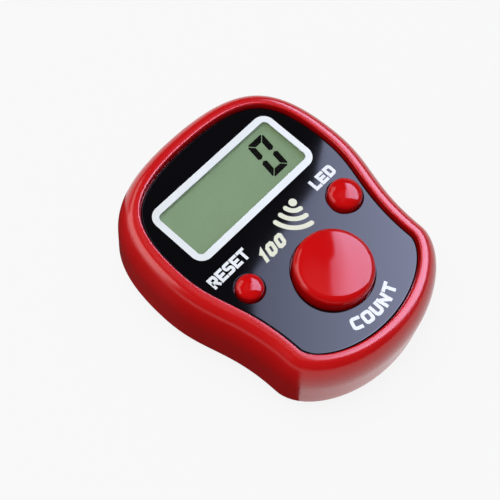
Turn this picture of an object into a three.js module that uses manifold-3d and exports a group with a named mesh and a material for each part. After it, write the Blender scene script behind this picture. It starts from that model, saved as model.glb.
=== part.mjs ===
// Digital hand tally counter: a glossy two-part case, a black face panel round a small display,
// three sprung buttons, a circuit board with switches and a buzzer, and a battery bay with a hatch.
// Millimetres. +Z comes out of the face, +Y points to the display end, and the back lies on z = 0.
import * as THREE from "three";
import Module from "manifold-3d";
import { mergeVertices } from "three/addons/utils/BufferGeometryUtils.js";

const wasm = await Module();
wasm.setup();

// Case outline, seen from above: a wide rounded display end and a narrower thumb lobe.
const CASE_WIDTH = 30.0;
const CASE_LENGTH = 36.9;
const WIDEST_Y = 4.5; // the case is widest a little towards the display end
const LOBE_WIDTH = 25.0;
const LOBE_Y = -10.8;
const TOP_PULL = 11.0; // lengths of the curve handles, from the top round to the bottom
const SHOULDER_PULL = 10.5;
const FLANK_PULL = 6.1;
const WAIST_PULL = 7.5;
const LOBE_PULL = 3.8;
const BOTTOM_PULL = 6.9;
const CURVE_STEPS = [11, 7, 10];

// Front shell section, from its bottom edge up the side, over the rim and down to the deck.
const WALL = 1.6;
const SHELL_BOTTOM = 2.0;
const BOTTOM_ROUND = 1.0;
const SHOULDER_HEIGHT = 4.6;
const RIM_CREST_INSET = 2.0;
const RIM_HEIGHT = 0.65; // above the face panel
const RIM_EDGE_ROUND = 0.35;
const PANEL_INSET = 2.58;
const DECK_THICKNESS = 1.35;
const PANEL_THICKNESS = 0.5;
const PANEL_CLEARANCE = 0.12;
const FLAT_GAP = 0.05; // between flat faces that lie on each other
const PAST = 1.0; // how far a cutting tool runs past the face that it opens

// Back cover.
const PARTING_GAP = 0.08;
const COVER_INSET = 1.15;
const COVER_EDGE_ROUND = 0.5;
const COVER_FLOOR = 1.4;
const LIP_CLEARANCE = 0.15;
const LIP_THICKNESS = 0.8;
const LIP_HEIGHT = 1.4;

// Battery bay: two button cells side by side along Y, under a screwed hatch.
const CELL_DIAMETER = 7.9;
const CELL_THICKNESS = 3.6;
const CELL_RIM = 0.45;
const CELL_CAP_HEIGHT = 0.7;
const CELL_ROUND = 0.15;
const CELL_CLEARANCE = 0.15;
const CELL_PITCH = 8.3;
const BAY_Y = 5.0;
const BAY_WALL = 0.9;
const LEDGE_THICKNESS = 1.0;
const LEDGE_MARGIN = 0.8;
const HATCH_THICKNESS = 1.1;
const HATCH_RECESS = 0.1;
const HATCH_GAP = 0.2;
const HATCH_MARGIN = 1.9; // from the cells' wells out to the hatch's edge
const HATCH_CORNER = 4.6;
const HATCH_SCREW_X = 4.6;
const HATCH_SCREW_BOSS = 1.7;
const HATCH_SCREW_WEB = 0.4; // hatch left under each screw head
const CONTACT_THICKNESS = 0.25;
const CONTACT_WIDTH = 3.4;
const CONTACT_SPACE = 0.6; // from the cells up to the board
const LEAF_FOOT = 1.6;

// Strap slots: two on each side of the back, with a bar between them and a closed trough above.
const SLOT_WIDTH = 1.3;
const SLOT_LENGTH = 9.0;
const STRAP_BAR = 1.7;
const SLOT_EDGE_MARGIN = 3.1; // from the case's side to the outer slot
const TROUGH_DEPTH = 1.6;
const TROUGH_WALL = 0.7;

// Screws: four hold the case and two the hatch.
const CASE_SCREW = { shank: 0.65, head: 1.3, headHeight: 0.8, slot: 0.35, reach: 3.6 };
const HATCH_SCREW = { shank: 0.55, head: 1.1, headHeight: 0.55, slot: 0.3, reach: 2.6 };
const SCREW_CLEARANCE = 0.2;
const CASE_HEAD_RECESS = 1.25;
const CASE_SCREW_TOP_X = 6.6;
const CASE_SCREW_TOP_MARGIN = 4.2; // from the case's top end
const CASE_SCREW_LOW_X = 6.9;
const CASE_SCREW_LOW_MARGIN = 5.95;
const FRONT_BOSS = 1.4;
const BACK_BOSS = 1.75;
const BACK_BOSS_HEIGHT = 1.6;
const BOSS_CLEARANCE = 0.3;

// Circuit board and what stands on it.
const BOARD_THICKNESS = 0.8;
const BOARD_INSET = 2.9;
const CHIP_RADIUS = 2.0;
const CHIP_HEIGHT = 0.9;
const CHIP_DROP = 8.95; // from the display's middle down to the chip's
const CHIP_PART = { length: 1.6, width: 0.8, height: 0.5 };
const CHIP_PART_PITCH = 3.4;
const CHIP_PART_MARGIN = 3.7; // from the case's bottom end

// Display: two glasses in a holder over a light guide, joined to the board by a rubber strip.
const DISPLAY_END_MARGIN = 10.4; // from the case's top end to the display's middle
const DISPLAY_Y = CASE_LENGTH / 2 - DISPLAY_END_MARGIN;
const WINDOW_WIDTH = 18.3;
const WINDOW_HEIGHT = 7.0;
const WINDOW_CORNER = 0.67;
const WINDOW_CLEARANCE = 0.04;
const GLASS_SIDE_OVERLAP = 0.75; // the glass runs this far past the window
const GLASS_END_OVERLAP = 0.45;
const GLASS_THICKNESS = 0.7;
const GLASS_LEDGE = 1.5;
const GLASS_DROP = 0.1; // below the deck's top
const GLASS_CLEARANCE = 0.15;
const HOLDER_WALL = 0.45;
const GUIDE_THICKNESS = 0.8;
const GUIDE_GAP = 0.1;
const LAMP = { length: 0.7, width: 2.0, height: 0.8 };
const STRIP_WIDTH = 1.1;

// Buttons: crown is the angle at which the rounded edge runs into the dome.
const COUNT_DROP = 15.3; // from the display's middle down to the count button's
const SMALL_DROP = 10.05; // and down to the two small buttons'
const COUNT_Y = DISPLAY_Y - COUNT_DROP;
const SMALL_Y = DISPLAY_Y - SMALL_DROP;
const BUTTON_CLEARANCE = 0.2;
const BUTTON_TRAVEL = 0.5;
const FLANGE_THICKNESS = 0.9;
const FLANGE_OVERLAP = 0.7;
const CAP_WALL = 1.1;
const COUNT_BUTTON = { x: 0, y: COUNT_Y, radius: 4.7, rise: 0.95, round: 1.1, crown: 15, sides: 44 };
const LED_BUTTON = { x: 8.15, y: SMALL_Y, radius: 2.05, rise: 0.45, round: 0.85, crown: 34, sides: 24 };
const RESET_BUTTON = { x: -8.2, y: SMALL_Y, radius: 1.6, rise: 0.35, round: 0.7, crown: 34, sides: 24 };

// Switches under the buttons.
const SWITCH_SIZE = 4.5;
const SWITCH_HEIGHT = 1.6; // with its plunger up
const SWITCH_BASE_HEIGHT = 0.9;
const SWITCH_FLOOR = 0.15;
const SWITCH_POCKET = 1.7;
const SWITCH_COVER_THICKNESS = 0.15;
const PLUNGER_RADIUS = 1.1;
const PLUNGER_COLLAR = 1.5;
const PLUNGER_COLLAR_HEIGHT = 0.2;
const PLUNGER_GAP = 0.1; // from the plunger up to the button
const PLUNGER_CLEARANCE = 0.15;

// Buzzer: a brass disc with a ceramic one on it, over sound holes in the back.
const BUZZER_BAY_MARGIN = 1.65; // from the battery bay's wall to the brass disc
const BUZZER_END_MARGIN = 0.8; // from the brass disc to the lip at the case's bottom end
const BUZZER_PLATE = 0.2;
const CERAMIC_RADIUS = 3.1;
const CERAMIC_THICKNESS = 0.25;
const BUZZER_SEAT_WIDTH = 0.7;
const BUZZER_SEAT_HEIGHT = 0.6;
const SOUND_HOLE_RADIUS = 0.45;
const SOUND_HOLE_RING = 1.7;
const SOUND_HOLES = 5;
const LEAD_RADIUS = 0.25;

// Heights that follow from the sizes above.
const HATCH_TOP = HATCH_RECESS + HATCH_THICKNESS;
const LEDGE_BOTTOM = HATCH_TOP + FLAT_GAP;
const CELL_BOTTOM = HATCH_TOP + FLAT_GAP + CONTACT_THICKNESS + FLAT_GAP;
const CELL_TOP = CELL_BOTTOM + CELL_THICKNESS;
const BOARD_BOTTOM = CELL_TOP + CONTACT_SPACE;
const BOARD_TOP = BOARD_BOTTOM + BOARD_THICKNESS;
const PLUNGER_TOP = BOARD_TOP + SWITCH_HEIGHT;
const FLANGE_BOTTOM = PLUNGER_TOP + PLUNGER_GAP;
const FLANGE_TOP = FLANGE_BOTTOM + FLANGE_THICKNESS;
const DECK_BOTTOM = FLANGE_TOP + FLAT_GAP;
const DECK_TOP = DECK_BOTTOM + DECK_THICKNESS;
const PANEL_BOTTOM = DECK_TOP + FLAT_GAP;
const PANEL_TOP = PANEL_BOTTOM + PANEL_THICKNESS;
const RIM_TOP = PANEL_TOP + RIM_HEIGHT;
const COVER_SHOULDER = SHELL_BOTTOM - PARTING_GAP;
const LIP_INSET = WALL + LIP_CLEARANCE;
const LIP_TOP = COVER_SHOULDER + LIP_HEIGHT;
const TROUGH_TOP = COVER_FLOOR + TROUGH_DEPTH + TROUGH_WALL;
const BACK_BOSS_TOP = COVER_FLOOR + BACK_BOSS_HEIGHT;
const UPPER_GLASS_TOP = DECK_TOP - GLASS_DROP;
const UPPER_GLASS_BOTTOM = UPPER_GLASS_TOP - GLASS_THICKNESS;
const LOWER_GLASS_TOP = UPPER_GLASS_BOTTOM - FLAT_GAP;
const LOWER_GLASS_BOTTOM = LOWER_GLASS_TOP - GLASS_THICKNESS;
const GUIDE_TOP = LOWER_GLASS_BOTTOM - GUIDE_GAP;
const BUZZER_SEAT_TOP = COVER_FLOOR + BUZZER_SEAT_HEIGHT;

// Places that follow from the sizes above.
const WELL_RADIUS = CELL_DIAMETER / 2 + CELL_CLEARANCE;
const CELL_CENTRES = [BAY_Y - CELL_PITCH / 2, BAY_Y + CELL_PITCH / 2];
const HATCH_WIDTH = 2 * (WELL_RADIUS + HATCH_MARGIN);
const HATCH_LENGTH = CELL_PITCH + 2 * WELL_RADIUS + HATCH_MARGIN;
const GLASS_WIDTH = WINDOW_WIDTH + 2 * GLASS_SIDE_OVERLAP;
const GLASS_HEIGHT = WINDOW_HEIGHT + 2 * GLASS_END_OVERLAP;
const GLASS_LOW_Y = DISPLAY_Y - GLASS_HEIGHT / 2 - GLASS_LEDGE;
const TALL_GLASS_HEIGHT = GLASS_HEIGHT + GLASS_LEDGE;
const TALL_GLASS_Y = GLASS_LOW_Y + TALL_GLASS_HEIGHT / 2;
const OUTER_SLOT_X = CASE_WIDTH / 2 - SLOT_EDGE_MARGIN - SLOT_WIDTH / 2;
const INNER_SLOT_X = OUTER_SLOT_X - SLOT_WIDTH - STRAP_BAR;
const CASE_SCREW_TOP_Y = CASE_LENGTH / 2 - CASE_SCREW_TOP_MARGIN;
const CASE_SCREW_LOW_Y = -CASE_LENGTH / 2 + CASE_SCREW_LOW_MARGIN;
const CASE_SCREWS = [
  [-CASE_SCREW_TOP_X, CASE_SCREW_TOP_Y],
  [CASE_SCREW_TOP_X, CASE_SCREW_TOP_Y],
  [-CASE_SCREW_LOW_X, CASE_SCREW_LOW_Y],
  [CASE_SCREW_LOW_X, CASE_SCREW_LOW_Y],
];
const BAY_LOW_Y = CELL_CENTRES[0] - WELL_RADIUS - BAY_WALL;
const LIP_LOW_Y = -CASE_LENGTH / 2 + LIP_INSET + LIP_THICKNESS;
const BUZZER_ROOM = BAY_LOW_Y - LIP_LOW_Y;
const BUZZER_RADIUS = (BUZZER_ROOM - BUZZER_BAY_MARGIN - BUZZER_END_MARGIN) / 2;
const BUZZER_Y = LIP_LOW_Y + BUZZER_END_MARGIN + BUZZER_RADIUS;
const BUTTONS = { count: COUNT_BUTTON, led: LED_BUTTON, reset: RESET_BUTTON };

// Finishes.
const FINISHES = {
  redShell: { color: 0xb80f12, roughness: 0.22, metalness: 0 },
  redButton: { color: 0xc4100e, roughness: 0.2, metalness: 0 },
  blackPanel: { color: 0x08070a, roughness: 0.12, metalness: 0 },
  clearWindow: { color: 0xe8efe6, roughness: 0.05, metalness: 0, transparent: true, opacity: 0.25 },
  displayGlass: { color: 0x849d7f, roughness: 0.3, metalness: 0 },
  whitePlastic: { color: 0xe9ebe6, roughness: 0.5, metalness: 0 },
  blackPlastic: { color: 0x18181a, roughness: 0.55, metalness: 0 },
  board: { color: 0x1d5a34, roughness: 0.45, metalness: 0 },
  epoxy: { color: 0x101012, roughness: 0.35, metalness: 0 },
  rubber: { color: 0x3a3a3d, roughness: 0.8, metalness: 0 },
  steel: { color: 0xb9bcc0, roughness: 0.3, metalness: 1 },
  brass: { color: 0xc9a24a, roughness: 0.3, metalness: 1 },
  ceramic: { color: 0xe4ddd0, roughness: 0.6, metalness: 0 },
};

// Turns a closed geometry into a solid that can be cut and joined.
function solid(geometry) {
  geometry.deleteAttribute("normal");
  geometry.deleteAttribute("uv");
  const merged = mergeVertices(geometry, 1e-5);
  return new wasm.Manifold(
    new wasm.Mesh({
      numProp: 3,
      vertProperties: new Float32Array(merged.attributes.position.array),
      triVerts: new Uint32Array(merged.index.array),
    })
  );
}

// Turns a solid into a named mesh with its own material.
function piece(name, shape, finish) {
  const { vertProperties, triVerts } = shape.getMesh();
  const geometry = new THREE.BufferGeometry();
  geometry.setAttribute("position", new THREE.BufferAttribute(vertProperties, 3));
  geometry.setIndex(new THREE.BufferAttribute(triVerts, 1));
  geometry.computeVertexNormals();
  const mesh = new THREE.Mesh(geometry, new THREE.MeshStandardMaterial(FINISHES[finish]));
  mesh.name = name;
  return mesh;
}

function join(shapes) {
  return shapes.reduce((whole, next) => whole.add(next));
}

function cut(shape, tools) {
  return tools.reduce((whole, tool) => whole.subtract(tool), shape);
}

// A flat plate of any outline between two heights.
function plate(shape, bottom, top) {
  const options = { depth: top - bottom, bevelEnabled: false, curveSegments: 4 };
  return solid(new THREE.ExtrudeGeometry(shape, options).translate(0, 0, bottom));
}

function disc(x, y, radius, bottom, top, sides = 18) {
  const geometry = new THREE.CylinderGeometry(radius, radius, top - bottom, sides);
  return solid(geometry.rotateX(Math.PI / 2).translate(x, y, (bottom + top) / 2));
}

function block(x, y, width, length, bottom, top) {
  const geometry = new THREE.BoxGeometry(width, length, top - bottom);
  return solid(geometry.translate(x, y, (bottom + top) / 2));
}

// A turned piece from radius and height pairs that start and end on the axis.
function turned(profile, sides) {
  const points = profile.map(([radius, height]) => new THREE.Vector2(radius, height));
  return solid(new THREE.LatheGeometry(points, sides).rotateX(Math.PI / 2));
}

function roundedRectangle(x, y, width, height, corner, Kind = THREE.Shape) {
  const right = x + width / 2 - corner;
  const left = x - width / 2 + corner;
  const top = y + height / 2 - corner;
  const low = y - height / 2 + corner;
  const outline = new Kind();
  outline.absarc(right, low, corner, -Math.PI / 2, 0, false);
  outline.absarc(right, top, corner, 0, Math.PI / 2, false);
  outline.absarc(left, top, corner, Math.PI / 2, Math.PI, false);
  outline.absarc(left, low, corner, Math.PI, (3 * Math.PI) / 2, false);
  outline.closePath();
  return outline;
}

// The right side of the case outline, as three curves from the top middle to the bottom middle.
function rightSide() {
  const top = new THREE.Vector2(0, CASE_LENGTH / 2);
  const side = new THREE.Vector2(CASE_WIDTH / 2, WIDEST_Y);
  const lobe = new THREE.Vector2(LOBE_WIDTH / 2, LOBE_Y);
  const bottom = new THREE.Vector2(0, -CASE_LENGTH / 2);
  const from = (point, x, y) => new THREE.Vector2(point.x + x, point.y + y);
  return [
    new THREE.CubicBezierCurve(top, from(top, TOP_PULL, 0), from(side, 0, SHOULDER_PULL), side),
    new THREE.CubicBezierCurve(side, from(side, 0, -FLANK_PULL), from(lobe, 0, WAIST_PULL), lobe),
    new THREE.CubicBezierCurve(lobe, from(lobe, 0, -LOBE_PULL), from(bottom, BOTTOM_PULL, 0), bottom),
  ];
}

// The case outline moved inwards by inset, anticlockwise from the bottom middle.
function caseOutline(inset) {
  const right = [];
  rightSide().forEach((curve, part) => {
    for (let step = 0; step < CURVE_STEPS[part]; step += 1) {
      const share = step / CURVE_STEPS[part];
      const point = curve.getPoint(share);
      const along = curve.getTangent(share);
      right.push(new THREE.Vector2(point.x + along.y * inset, point.y - along.x * inset));
    }
  });
  const bottom = new THREE.Vector2(0, -CASE_LENGTH / 2 + inset);
  const left = right.slice(1).map((point) => new THREE.Vector2(-point.x, point.y));
  return [bottom, ...right.slice(1).reverse(), right[0], ...left];
}

// A closed body whose walls run through the case outline at each inset and height in turn.
function loft(levels) {
  const rings = levels.map(([inset, height]) => caseOutline(inset).map((p) => [p.x, p.y, height]));
  const count = rings[0].length;
  const corners = rings.flat(2);
  const faces = [];
  for (let level = 0; level + 1 < rings.length; level += 1) {
    for (let i = 0; i < count; i += 1) {
      const next = (i + 1) % count;
      const here = level * count;
      const above = here + count;
      faces.push(here + i, here + next, above + next, here + i, above + next, above + i);
    }
  }
  const capOf = (level) => THREE.ShapeUtils.triangulateShape(caseOutline(levels[level][0]), []);
  const last = (levels.length - 1) * count;
  capOf(0).forEach(([a, b, c]) => faces.push(c, b, a));
  capOf(levels.length - 1).forEach(([a, b, c]) => faces.push(last + a, last + b, last + c));
  const geometry = new THREE.BufferGeometry();
  geometry.setAttribute("position", new THREE.Float32BufferAttribute(corners, 3));
  geometry.setIndex(faces);
  return solid(geometry);
}

// Levels along an elliptic quarter round, from one angle to another, in degrees.
function arcLevels(inset, height, insetRadius, heightRadius, from, to, steps) {
  return Array.from({ length: steps + 1 }, (_, i) => {
    const angle = THREE.MathUtils.degToRad(from + ((to - from) * i) / steps);
    return [inset - insetRadius * Math.cos(angle), height + heightRadius * Math.sin(angle)];
  });
}

function caseBody(inset, bottom, top) {
  return loft([[inset, bottom], [inset, top]]);
}

// Front shell: side wall, rounded shoulder and rim, deck with its openings, and screw bosses.
function frontShell() {
  const shoulder = RIM_TOP - SHOULDER_HEIGHT;
  const edge = PANEL_INSET - RIM_EDGE_ROUND;
  const outside = loft([
    ...arcLevels(BOTTOM_ROUND, SHELL_BOTTOM + BOTTOM_ROUND, BOTTOM_ROUND, BOTTOM_ROUND, -90, 0, 2),
    ...arcLevels(RIM_CREST_INSET, shoulder, RIM_CREST_INSET, SHOULDER_HEIGHT, 0, 90, 6),
    ...arcLevels(edge, RIM_TOP - RIM_EDGE_ROUND, -RIM_EDGE_ROUND, RIM_EDGE_ROUND, 90, 0, 2),
    [PANEL_INSET, DECK_TOP],
  ]);
  const hollow = caseBody(WALL, SHELL_BOTTOM - PAST, DECK_BOTTOM);
  const bosses = CASE_SCREWS.map(([x, y]) =>
    disc(x, y, FRONT_BOSS, BACK_BOSS_TOP + FLAT_GAP, DECK_BOTTOM + DECK_THICKNESS / 2)
  );
  const pilots = CASE_SCREWS.map(([x, y]) =>
    disc(x, y, CASE_SCREW.shank + SCREW_CLEARANCE, BACK_BOSS_TOP - PAST, DECK_BOTTOM, 12)
  );
  const window = roundedRectangle(
    0,
    TALL_GLASS_Y,
    GLASS_WIDTH + 2 * GLASS_CLEARANCE,
    TALL_GLASS_HEIGHT + 2 * GLASS_CLEARANCE,
    0.3
  );
  const openings = Object.values(BUTTONS).map((b) =>
    disc(b.x, b.y, b.radius + BUTTON_CLEARANCE, DECK_BOTTOM - PAST, DECK_TOP + PAST, b.sides)
  );
  const shell = join([cut(outside, [hollow]), ...bosses]);
  return cut(shell, [...pilots, plate(window, DECK_BOTTOM - PAST, DECK_TOP + PAST), ...openings]);
}

// Face panel: a thin black sheet on the deck, with the display window and three button holes.
function facePanel() {
  const sheet = new THREE.Shape(caseOutline(PANEL_INSET + PANEL_CLEARANCE));
  sheet.holes.push(
    roundedRectangle(0, DISPLAY_Y, WINDOW_WIDTH, WINDOW_HEIGHT, WINDOW_CORNER, THREE.Path)
  );
  const holes = Object.values(BUTTONS).map((b) =>
    disc(b.x, b.y, b.radius + BUTTON_CLEARANCE, PANEL_BOTTOM - PAST, PANEL_TOP + PAST, b.sides)
  );
  return cut(plate(sheet, PANEL_BOTTOM, PANEL_TOP), holes);
}

function displayWindow() {
  const slack = 2 * WINDOW_CLEARANCE;
  const pane = roundedRectangle(
    0,
    DISPLAY_Y,
    WINDOW_WIDTH - slack,
    WINDOW_HEIGHT - slack,
    WINDOW_CORNER
  );
  return plate(pane, PANEL_BOTTOM, PANEL_TOP);
}

function hatchOutline(margin) {
  return roundedRectangle(
    0,
    BAY_Y,
    HATCH_WIDTH + 2 * margin,
    HATCH_LENGTH + 2 * margin,
    HATCH_CORNER + margin
  );
}

// The hollow for the two cells, as one opening with a channel that joins the wells.
function cellWells(bottom, top) {
  const wells = CELL_CENTRES.map((y) => disc(0, y, WELL_RADIUS, bottom, top, 28));
  return join([...wells, block(0, BAY_Y, CELL_DIAMETER / 2, CELL_PITCH, bottom, top)]);
}

function hatchScrewPlaces() {
  return [-HATCH_SCREW_X, HATCH_SCREW_X].map((x) => [x, BAY_Y]);
}

function slotPlaces() {
  return [-OUTER_SLOT_X, -INNER_SLOT_X, INNER_SLOT_X, OUTER_SLOT_X];
}

// Closed troughs above the strap slots, so that the strap never reaches the board.
function strapTroughs() {
  const middle = (OUTER_SLOT_X + INNER_SLOT_X) / 2;
  const width = 2 * SLOT_WIDTH + STRAP_BAR;
  return [-1, 1].map((side) => ({
    outside: block(
      side * middle,
      BAY_Y,
      width + 2 * TROUGH_WALL,
      SLOT_LENGTH + 2 * TROUGH_WALL,
      COVER_FLOOR / 2,
      TROUGH_TOP
    ),
    inside: block(side * middle, BAY_Y, width, SLOT_LENGTH, COVER_FLOOR, COVER_FLOOR + TROUGH_DEPTH),
  }));
}

// Back cover: floor, locating lip, battery bay, strap troughs, buzzer seat and screw seats.
function backCover() {
  const base = loft([
    ...arcLevels(
      COVER_INSET + COVER_EDGE_ROUND,
      COVER_EDGE_ROUND,
      COVER_EDGE_ROUND,
      COVER_EDGE_ROUND,
      -90,
      0,
      2
    ),
    [COVER_INSET, COVER_SHOULDER],
    [LIP_INSET, COVER_SHOULDER],
    [LIP_INSET, LIP_TOP],
  ]);
  const tray = cut(base, [caseBody(LIP_INSET + LIP_THICKNESS, COVER_FLOOR, LIP_TOP + PAST)]);
  const troughs = strapTroughs();
  const seat = disc(0, BUZZER_Y, BUZZER_RADIUS, COVER_FLOOR / 2, BUZZER_SEAT_TOP, 32);
  const raised = [
    ...CASE_SCREWS.map(([x, y]) => disc(x, y, BACK_BOSS, COVER_FLOOR / 2, BACK_BOSS_TOP)),
    ...hatchScrewPlaces().map(([x, y]) =>
      disc(x, y, HATCH_SCREW_BOSS, LEDGE_BOTTOM, BOARD_BOTTOM - FLAT_GAP)
    ),
    ...CELL_CENTRES.map((y) =>
      disc(0, y, WELL_RADIUS + BAY_WALL, COVER_FLOOR / 2, BOARD_BOTTOM - FLAT_GAP, 28)
    ),
    plate(hatchOutline(HATCH_GAP + LEDGE_MARGIN), COVER_FLOOR / 2, LEDGE_BOTTOM + LEDGE_THICKNESS),
    ...troughs.map((trough) => trough.outside),
    seat,
  ];
  const slotTop = COVER_FLOOR + TROUGH_DEPTH / 2;
  const hollows = [
    ...troughs.map((trough) => trough.inside),
    ...slotPlaces().map((x) => block(x, BAY_Y, SLOT_WIDTH, SLOT_LENGTH, -PAST, slotTop)),
    plate(hatchOutline(HATCH_GAP), -PAST, LEDGE_BOTTOM),
    cellWells(0, BOARD_BOTTOM + PAST),
    ...hatchScrewPlaces().map(([x, y]) =>
      disc(x, y, HATCH_SCREW.shank + SCREW_CLEARANCE, 0, HATCH_TOP + HATCH_SCREW.reach, 12)
    ),
    ...CASE_SCREWS.map(([x, y]) =>
      disc(x, y, CASE_SCREW.head + SCREW_CLEARANCE, -PAST, CASE_HEAD_RECESS)
    ),
    ...CASE_SCREWS.map(([x, y]) =>
      disc(x, y, CASE_SCREW.shank + SCREW_CLEARANCE, 0, BACK_BOSS_TOP + PAST, 12)
    ),
    ...CASE_SCREWS.map(([x, y]) =>
      disc(x, y, FRONT_BOSS + BOSS_CLEARANCE, BACK_BOSS_TOP, LIP_TOP + PAST)
    ),
    disc(0, BUZZER_Y, BUZZER_RADIUS - BUZZER_SEAT_WIDTH, COVER_FLOOR, BUZZER_SEAT_TOP + PAST, 32),
    ...soundHoles(),
  ];
  return cut(join([tray, ...raised]), hollows);
}

function soundHoles() {
  return Array.from({ length: SOUND_HOLES }, (_, i) => {
    const angle = (2 * Math.PI * i) / SOUND_HOLES + Math.PI / 2;
    const x = SOUND_HOLE_RING * Math.cos(angle);
    const y = BUZZER_Y + SOUND_HOLE_RING * Math.sin(angle);
    return disc(x, y, SOUND_HOLE_RADIUS, -PAST, COVER_FLOOR + PAST, 10);
  });
}

// Pan-head screw with a cross recess, its head at the bottom and the underside of it at height 0.
function screw({ shank, head, headHeight, slot, reach }) {
  const tip = shank * 0.5;
  const edge = headHeight * 0.35;
  const body = turned(
    [
      [0, -headHeight],
      [head - edge, -headHeight],
      [head, -headHeight + edge],
      [head, 0],
      [shank, 0],
      [shank, reach - tip],
      [shank - tip, reach],
      [0, reach],
    ],
    16
  );
  const recessTop = -headHeight + slot;
  const arm = head * 1.2;
  const cross = [block(0, 0, arm, slot, -headHeight - PAST, recessTop)];
  cross.push(block(0, 0, slot, arm, -headHeight - PAST, recessTop));
  return cut(body, cross);
}

// Battery hatch: a flush lid whose two screws stay in it.
function hatch() {
  const lid = plate(hatchOutline(0), HATCH_RECESS, HATCH_TOP);
  return cut(lid, [
    ...hatchScrewPlaces().map(([x, y]) =>
      disc(x, y, HATCH_SCREW.head + SCREW_CLEARANCE, -PAST, HATCH_TOP - HATCH_SCREW_WEB)
    ),
    ...hatchScrewPlaces().map(([x, y]) =>
      disc(x, y, HATCH_SCREW.shank + SCREW_CLEARANCE, 0, HATCH_TOP + PAST, 12)
    ),
  ]);
}

// Button cell: the wide can below and the narrower cap on top, with the step between them.
function cell() {
  const radius = CELL_DIAMETER / 2;
  const cap = radius - CELL_RIM;
  const step = CELL_THICKNESS - CELL_CAP_HEIGHT;
  return turned(
    [
      [0, 0],
      [radius - CELL_ROUND, 0],
      [radius, CELL_ROUND],
      [radius, step],
      [cap, step + CELL_ROUND],
      [cap, CELL_THICKNESS - CELL_ROUND],
      [cap - CELL_ROUND, CELL_THICKNESS],
      [0, CELL_THICKNESS],
    ],
    28
  );
}

// Strip on the hatch that joins the two cells.
function linkContact() {
  const outline = roundedRectangle(
    0,
    BAY_Y,
    CONTACT_WIDTH,
    CELL_PITCH + CONTACT_WIDTH,
    CONTACT_WIDTH / 2
  );
  const bottom = HATCH_TOP + FLAT_GAP;
  return plate(outline, bottom, bottom + CONTACT_THICKNESS);
}

// Leaf contact under the board: a foot on the board and a tongue bent down to the cell.
function leafContact(width) {
  const drop = CONTACT_SPACE - FLAT_GAP * 2;
  const tongue = CELL_DIAMETER / 2 - LEAF_FOOT;
  const t = CONTACT_THICKNESS;
  const side = new THREE.Shape();
  side.moveTo(-LEAF_FOOT, 0);
  side.lineTo(-LEAF_FOOT, -t);
  side.lineTo(0, -t);
  side.lineTo(tongue * 0.6, -drop);
  side.lineTo(tongue, -drop + t * 0.4);
  side.lineTo(tongue, -drop + t * 1.4);
  side.lineTo(tongue * 0.6, -drop + t);
  side.lineTo(0.1, 0);
  side.closePath();
  const geometry = new THREE.ExtrudeGeometry(side, { depth: width, bevelEnabled: false });
  geometry.translate(0, 0, -width / 2).rotateX(Math.PI / 2).rotateZ(Math.PI / 2);
  return solid(geometry);
}

function circuitBoard() {
  const sheet = new THREE.Shape(caseOutline(BOARD_INSET));
  const holes = CASE_SCREWS.map(([x, y]) =>
    disc(x, y, FRONT_BOSS + BOSS_CLEARANCE, BOARD_BOTTOM - PAST, BOARD_TOP + PAST)
  );
  return cut(plate(sheet, BOARD_BOTTOM, BOARD_TOP), holes);
}

function epoxyBlob() {
  const profile = [[0, 0]];
  const steps = 4;
  for (let i = 0; i < steps; i += 1) {
    const angle = (Math.PI / 2) * (i / steps);
    profile.push([CHIP_RADIUS * Math.cos(angle), CHIP_HEIGHT * Math.sin(angle)]);
  }
  profile.push([0, CHIP_HEIGHT]);
  return turned(profile, 20);
}

function upperGlass() {
  const outline = roundedRectangle(0, TALL_GLASS_Y, GLASS_WIDTH, TALL_GLASS_HEIGHT, 0.2);
  return plate(outline, UPPER_GLASS_BOTTOM, UPPER_GLASS_TOP);
}

function lowerGlass() {
  const outline = roundedRectangle(0, DISPLAY_Y, GLASS_WIDTH, GLASS_HEIGHT, 0.2);
  return plate(outline, LOWER_GLASS_BOTTOM, LOWER_GLASS_TOP);
}

function lightGuide() {
  const narrow = LAMP.length + FLAT_GAP;
  const width = GLASS_WIDTH - narrow;
  const outline = roundedRectangle(-narrow / 2, DISPLAY_Y, width, GLASS_HEIGHT, 0.2);
  return plate(outline, GUIDE_TOP - GUIDE_THICKNESS, GUIDE_TOP);
}

// Holder: a frame on the board that keeps the glass, the light guide and the strip in line.
function displayHolder() {
  const slack = 2 * GLASS_CLEARANCE;
  const width = GLASS_WIDTH + slack;
  const height = TALL_GLASS_HEIGHT + slack;
  const y = TALL_GLASS_Y;
  const bottom = BOARD_TOP + FLAT_GAP;
  const top = DECK_BOTTOM - FLAT_GAP;
  const ring = roundedRectangle(0, y, width + 2 * HOLDER_WALL, height + 2 * HOLDER_WALL, 0.6);
  const inside = roundedRectangle(0, y, width, height, 0.3);
  const shelfTop = GUIDE_TOP - GUIDE_THICKNESS - FLAT_GAP;
  const shelf = block(0, DISPLAY_Y, width + HOLDER_WALL, HOLDER_WALL * 2, bottom, shelfTop);
  return join([cut(plate(ring, bottom, top), [plate(inside, bottom - PAST, top + PAST)]), shelf]);
}

function rubberStrip() {
  const y = GLASS_LOW_Y + GLASS_LEDGE / 2;
  return block(0, y, WINDOW_WIDTH, STRIP_WIDTH, BOARD_TOP + FLAT_GAP, UPPER_GLASS_BOTTOM - FLAT_GAP);
}

function backlightLamp() {
  const x = GLASS_WIDTH / 2 - LAMP.length / 2;
  const top = GUIDE_TOP + FLAT_GAP;
  return block(x, DISPLAY_Y, LAMP.length, LAMP.width, top - LAMP.height, top);
}

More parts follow.
